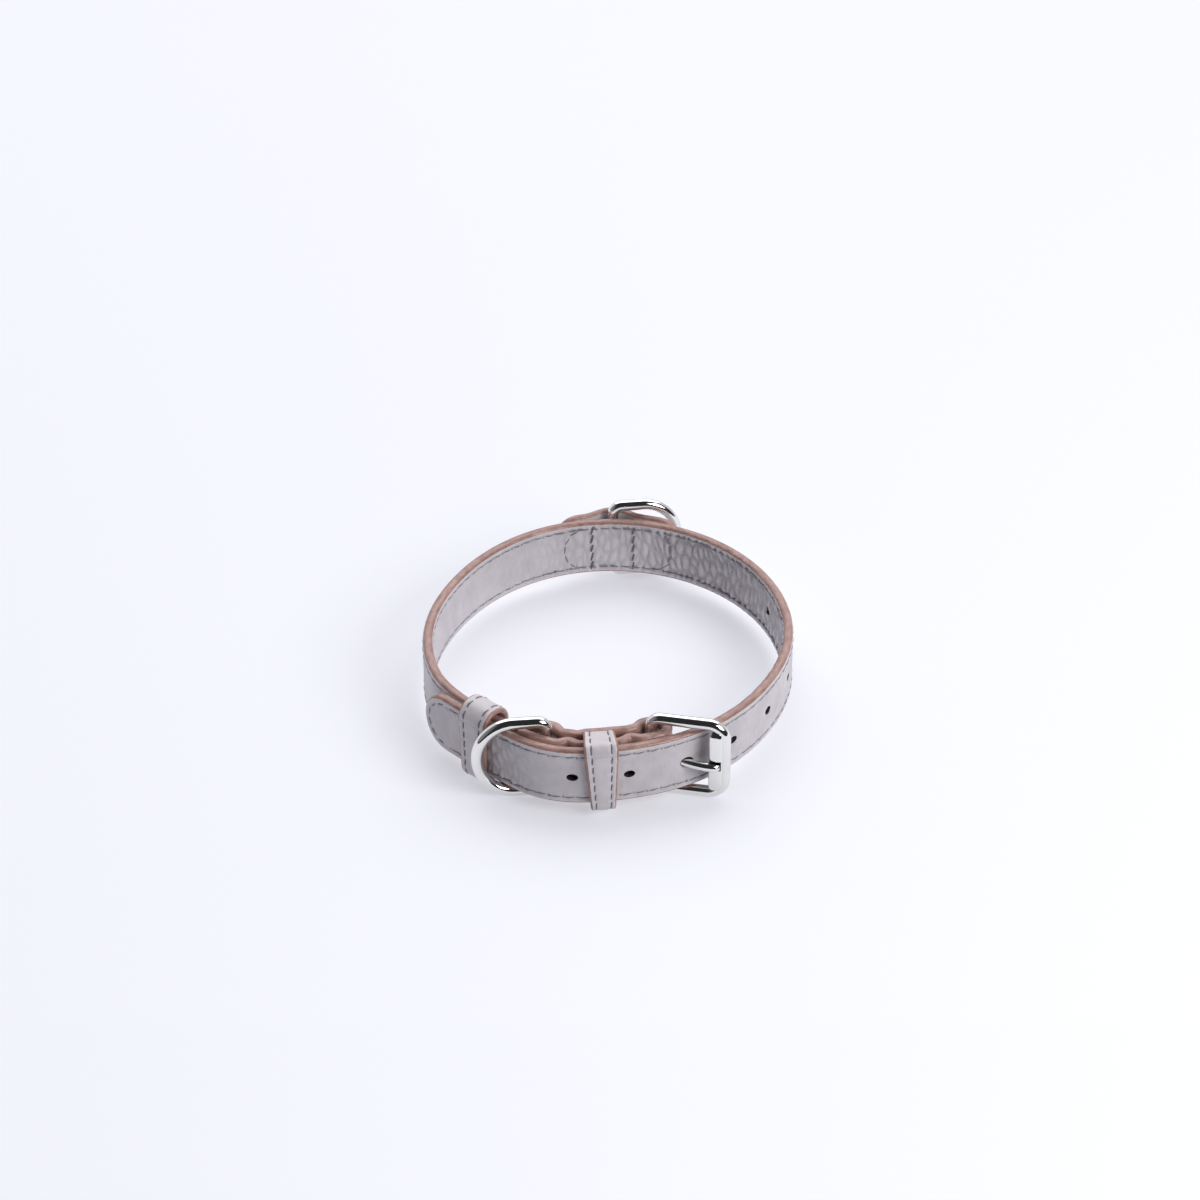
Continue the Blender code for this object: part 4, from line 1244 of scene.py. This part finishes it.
def swept_wire(name, line, radius, sides=32):
    """Sweep a round wire along a closed line in the X-Z plane."""
    normal = right_of(tangents(line))
    turns = 2.0 * math.pi * np.arange(sides) / sides
    spread_out = radius * np.cos(turns)[None, :]
    x = line[:, :1] + normal[:, :1] * spread_out
    z = line[:, 1:] + normal[:, 1:] * spread_out
    y = np.broadcast_to(radius * np.sin(turns)[None, :], x.shape)
    return skin(name, np.stack([x, y, z], axis=-1), grid_faces(len(line), sides, closed=True))


def place_mesh(mesh, middle, heading, height):
    """Turn a mesh about the upright axis and set it at its bar."""
    spin = Matrix.Rotation(math.radians(heading), 4, "Z")
    spot = middle + middle_shift
    mesh.transform(Matrix.Translation((spot[0], spot[1], height)) @ spin)
    return mesh

# %% D-rings
# The solids have facets that touch the floor; the round wire is lifted by as much, so
# that it stands on the floor too.
WIRE_RADIUS = 0.51 * WIRE_DIAMETER
RING_HEIGHT = FITTING_HALF + WIRE_RADIUS


def make_ring(name, node, body, middle, heading):
    """Bend a D-ring: a straight bar, two corners and a wide bow."""
    corner, half = D_RING_CORNER, FITTING_HALF
    bow = D_RING_DEPTH - D_RING_BOW_DEPTH
    points = arc_points((corner, half - corner), corner, corner, 180.0, 90.0, 64)
    points += arc_points((bow, 0.0), D_RING_BOW_DEPTH, half, 90.0, -90.0, 360)
    points += arc_points((corner, corner - half), corner, corner, -90.0, -180.0, 64)
    mesh = swept_wire(name, even_loop(points), WIRE_RADIUS)
    place_mesh(mesh, middle, heading, RING_HEIGHT)
    piece = add_piece(name, mesh, [chrome], 60)
    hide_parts(node)
    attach(piece, body)
    return piece


make_ring("front_ring_wire", "front_d_ring", "front_ring", front_bar, FRONT_RING_HEADING)
make_ring("back_ring_wire", "back_d_ring", "back_ring", back_bar, BACK_RING_HEADING)

# %% [markdown]
# ## The buckle
#
# The frame is one casting: a round loop whose front is thickened into a plate with soft
# corners, and a notch in the plate for the prong's tip. The loop is swept. The plate is
# lofted: its section is a soft-cornered block, thicker than the loop, whose outer side
# leaves the loop standing beside it as a bead, and whose ends are rounded. A Boolean
# joins the two, so that the step between them stays crisp, as it is in the casting.

# %% The plate
PLATE_HALF = 9.0 * MM
PLATE_END = 1.9 * MM
PLATE_THINNING = 0.25 * MM
PLATE_BEAD = 1.5 * MM
NOTCH_SHADE_TONE = "4A4A4E"


def cast_plate(name, rows=44, sides=56):
    """Loft the plate from its lower to its upper end."""
    turns = 2.0 * math.pi * np.arange(sides) / sides
    cos_t, sin_t = np.cos(turns), np.sin(turns)
    exponent = np.where(cos_t < 0.0, 7.0, 3.2)
    reach = (np.abs(cos_t) ** exponent + np.abs(sin_t) ** exponent) ** (-1.0 / exponent)
    level = PLATE_HALF * np.sin(np.linspace(-0.5 * math.pi, 0.5 * math.pi, rows))
    past = np.clip((np.abs(level) - (PLATE_HALF - PLATE_END)) / PLATE_END, 0.0, 1.0)
    corner = PLATE_END * (1.0 - np.sqrt(1.0 - past ** 2))
    loop_outer = BUCKLE_FRONT_CORNER + WIRE_RADIUS
    climb = np.clip((np.abs(level) - (FITTING_HALF - BUCKLE_FRONT_CORNER)) / loop_outer, 0.0, 1.0)
    loop_right = BUCKLE_LENGTH - BUCKLE_FRONT_CORNER + loop_outer * np.sqrt(1.0 - climb ** 2)
    right = loop_right - PLATE_BEAD
    left = BUCKLE_LENGTH + 0.5 * WIRE_DIAMETER - PLATE_WIDTH + 0.6 * corner
    shoulder = np.clip((np.abs(level) - 0.55 * PLATE_HALF) / (0.45 * PLATE_HALF), 0.0, 1.0)
    thick = 0.5 * PLATE_THICKNESS - PLATE_THINNING * shoulder ** 2 - 0.6 * corner
    x = 0.5 * (left + right)[:, None] + 0.5 * (right - left)[:, None] * (reach * cos_t)[None, :]
    y = thick[:, None] * (reach * sin_t)[None, :]
    rings = np.stack([x, y, np.broadcast_to(level[:, None], x.shape)], axis=-1)
    return skin(name, rings, grid_faces(rows, sides, capped=True))


# The notch's metal is darker and rougher: its dark tone is painted shade in the notch.
notch_shade_metal = chrome_material("notch_painted_shade_metal", (NOTCH_SHADE_TONE, NOTCH_SHADE_TONE), 0.4, 0.5)

# %% Buckle frame
half, heel, front = FITTING_HALF, BUCKLE_HEEL_CORNER, BUCKLE_FRONT_CORNER
points = arc_points((heel, half - heel), heel, heel, 180.0, 90.0, 64)
points += arc_points((BUCKLE_LENGTH - front, half - front), front, front, 90.0, 0.0, 96)
points += arc_points((BUCKLE_LENGTH - front, front - half), front, front, 0.0, -90.0, 96)
points += arc_points((heel, heel - half), heel, heel, -90.0, -180.0, 64)
frame_mesh = swept_wire("buckle_loop", even_loop(points), WIRE_RADIUS)
frame_mesh.materials.append(chrome)
plate_mesh = cast_plate("plate")
plate_mesh.materials.append(chrome)
frame_mesh = combined(frame_mesh, [bpy.data.objects.new("plate", plate_mesh)], "UNION")
notch_width = PRONG_DIAMETER + 2.0 * METAL_GAP
notch_end = PRONG_LENGTH + METAL_GAP
tilt = Matrix.Rotation(math.radians(-PRONG_TILT), 4, "Z")
notch_lift = -FITTING_RISE - NOTCH_DROOP_SHARE * PRONG_DROOP
notch_height = notch_width + 2.0 * (1.0 - NOTCH_DROOP_SHARE) * PRONG_DROOP
notch_middle = Matrix.Translation((0.5 * notch_end, -0.5 * PLATE_THICKNESS, notch_lift))
notch = punch("notch", (notch_end, PLATE_THICKNESS + notch_width, notch_height),
              tilt @ notch_middle, notch_shade_metal)
frame_mesh = combined(frame_mesh, [notch], "DIFFERENCE")
place_mesh(frame_mesh, heel_bar, BUCKLE_HEADING, RING_HEIGHT)
buckle_piece = add_piece("buckle_frame_cast", frame_mesh, [chrome, notch_shade_metal], 38)
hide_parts("buckle_frame")
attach(buckle_piece, "collar")

# %% [markdown]
# ## The prong
#
# The prong is wire too: one end is curled round the heel bar as an eye, and the other
# bows out through its hole and comes down to rest in the notch.

# %% Prong
def make_prong():
    """Curl the eye and draw the shank."""
    thin = 0.5 * PRONG_DIAMETER
    eye = 0.5 * WIRE_DIAMETER + METAL_GAP + thin
    bpy.ops.mesh.primitive_torus_add(major_radius=eye, minor_radius=thin, major_segments=48,
                                     minor_segments=20)
    torus = bpy.context.active_object
    eye_mesh = torus.data.copy()
    bpy.data.objects.remove(torus)
    shares = np.linspace(0.9 * eye / PRONG_LENGTH, 1.0, 40)
    line = np.array([prong_point(share) for share in shares])
    ahead = np.gradient(line, axis=0)
    ahead = unit(ahead)
    side = unit(np.cross(ahead, np.array([0.0, 0.0, 1.0])))
    up = np.cross(side, ahead)
    taper = np.interp(shares, [0.0, 0.3, 0.5, 0.9, 0.97, 1.0], [1.0, 1.05, 1.15, 1.22, 1.05, 0.6])
    turns = 2.0 * math.pi * np.arange(24) / 24
    cosines, sines = np.cos(turns)[None, :, None], np.sin(turns)[None, :, None]
    spokes = side[:, None, :] * cosines + up[:, None, :] * sines
    rings = line[:, None, :] + thin * taper[:, None, None] * spokes
    shank = skin("shank", rings, grid_faces(len(shares), len(turns), capped=True))
    for item in (eye_mesh, shank):
        item.materials.clear()
        item.materials.append(chrome)
    mesh = combined(eye_mesh, [bpy.data.objects.new("shank", shank)], "UNION")
    place_mesh(mesh, heel_bar, PRONG_HEADING, STRAP_MIDDLE)
    piece = add_piece("prong_wire", mesh, [chrome], 45)
    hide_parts("buckle_prong")
    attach(piece, "collar")


make_prong()

# %% [markdown]
# ## Floor and light
#
# The collar stands on a white acrylic table that is also lit from below, which keeps the
# shadows light. A large softbox hangs behind it, with its front edge right overhead, and
# a smaller one shines from the front right, which models the leather. The end of the room
# behind the camera is dark, and a black card lies in front, which only reflections see.
# Together they draw the black bands on the metal. A pale wall that only the camera sees
# closes the view in low angles.

# %% Floor
def set_dressing(name, shape, material, unseen_by=()):
    """Put a surface beside the collar, unseen by some kinds of ray."""
    result = linked(name, mesh_of(name, shape, material))
    for ray in unseen_by:
        setattr(result, "visible_" + ray, False)
    return result


def disc(radius, height, sides=96):
    """Make a flat round sheet of rings, finer towards the middle."""
    radii = [0.0] + [radius * (i / 12) ** 2 for i in range(1, 13)]
    shape = bmesh.new()
    middle = shape.verts.new((0.0, 0.0, height))
    last = None
    for r in radii[1:]:
        ring = [shape.verts.new((r * math.cos(t), r * math.sin(t), height))
                for t in 2.0 * math.pi * np.arange(sides) / sides]
        for i in range(sides):
            j = (i + 1) % sides
            inner = (middle,) if last is None else (last[j], last[i])
            shape.faces.new((*inner, ring[i], ring[j]))
        last = ring
    return shape


floor_finish, tree, shader = new_material("back_lit_acrylic_table", Roughness=0.85, IOR=1.49,
                                          Specular_IOR_Level=0.2, Emission_Strength=0.5)
shader.inputs["Emission Color"].default_value = linear("F6F7FF")
place = add(tree, "ShaderNodeTexCoord").outputs["Object"]
drift = noise(tree, place, 1.5, 2.0)["Fac"]
link_inputs(tree, shader, Base_Color=blend(tree, drift, "ABACB1", "ADAEB3"))
floor = set_dressing("floor", disc(6.0, 0.0), floor_finish)
floor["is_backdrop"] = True

# %% Pale wall that only the camera sees
wall_finish, tree, shader = new_material("pale_wall")
glow = add(tree, "ShaderNodeEmission", {}, {"Color": linear("F3F4FA"), "Strength": 1.0})
tree.links.new(glow.outputs[0], tree.nodes["Material Output"].inputs["Surface"])
shape = bmesh.new()
bmesh.ops.create_cone(shape, cap_ends=False, segments=96, radius1=6.0, radius2=6.0, depth=6.0)
bmesh.ops.translate(shape, vec=(0.0, 0.0, 2.9), verts=shape.verts)
wall = set_dressing("wall", shape, wall_finish,
                    ("diffuse", "glossy", "transmission", "volume_scatter", "shadow"))
wall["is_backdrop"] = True

# %% Lights
def softbox(name, azimuth, elevation, distance, size, power, colour="FFFFFF"):
    """Hang a square light that faces the collar."""
    data = bpy.data.lights.new(name, "AREA")
    data.shape, data.size, data.size_y, data.energy = "RECTANGLE", size[0], size[1], power
    data.color = linear(colour)[:3]
    lamp = linked(name, data)
    a, e = math.radians(azimuth), math.radians(elevation)
    level = math.cos(e)
    lamp.location = distance * Vector((math.cos(a) * level, math.sin(a) * level, math.sin(e)))
    lamp.rotation_euler = lamp.location.to_track_quat("Z", "Y").to_euler()
    lamp.visible_camera = False
    return lamp


softbox("overhead_softbox", 90.0, 55.0, 1.1, (1.6, 1.0), 10.0)
softbox("front_right_softbox", -38.0, 35.0, 0.9, (0.50, 0.42), 5.3)

# %% Black card in front, seen by reflections alone
card_finish, tree, shader = new_material("black_card", Roughness=0.9, Specular_IOR_Level=0.0)
shader.inputs["Base Color"].default_value = linear("0A0A0B")
shape = bmesh.new()
bmesh.ops.create_grid(shape, x_segments=1, y_segments=1, size=1.0)
bmesh.ops.scale(shape, vec=(2.0, 1.0, 1.0), verts=shape.verts)
bmesh.ops.translate(shape, vec=(0.0, -1.13, 1.5 * MM), verts=shape.verts)
card = set_dressing("card", shape, card_finish,
                    ("camera", "diffuse", "transmission", "volume_scatter", "shadow"))
card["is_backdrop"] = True

# %% The room
world = bpy.data.worlds.new("studio_room")
bpy.context.scene.world = world
world.use_nodes = True
tree = world.node_tree
direction = add(tree, "ShaderNodeTexCoord").outputs["Generated"]
parts = add(tree, "ShaderNodeSeparateXYZ", {}, {0: direction})
behind = spread(tree, parts.outputs["Y"], -0.05, 0.30, 0.03, 0.75, SMOOTH)
left = spread(tree, parts.outputs["X"], -0.9, -0.4, 0.22, 0.0, SMOOTH)
room = maths(tree, "ADD", behind, left)
tree.links.new(room, tree.nodes["Background"].inputs["Strength"])
tree.nodes["Background"].inputs["Color"].default_value = linear("F4F5FC")
bpy.context.scene.view_settings.view_transform = "Standard"

# %% Measure the visual model against the CAD box, and finish
visual_box = [list(corner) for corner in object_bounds()]
grow = [[round((visual_box[k][i] - cad_box[k][i]) / MM, 2) for i in range(3)] for k in (0, 1)]
print("visual box minus CAD box, mm:", grow)
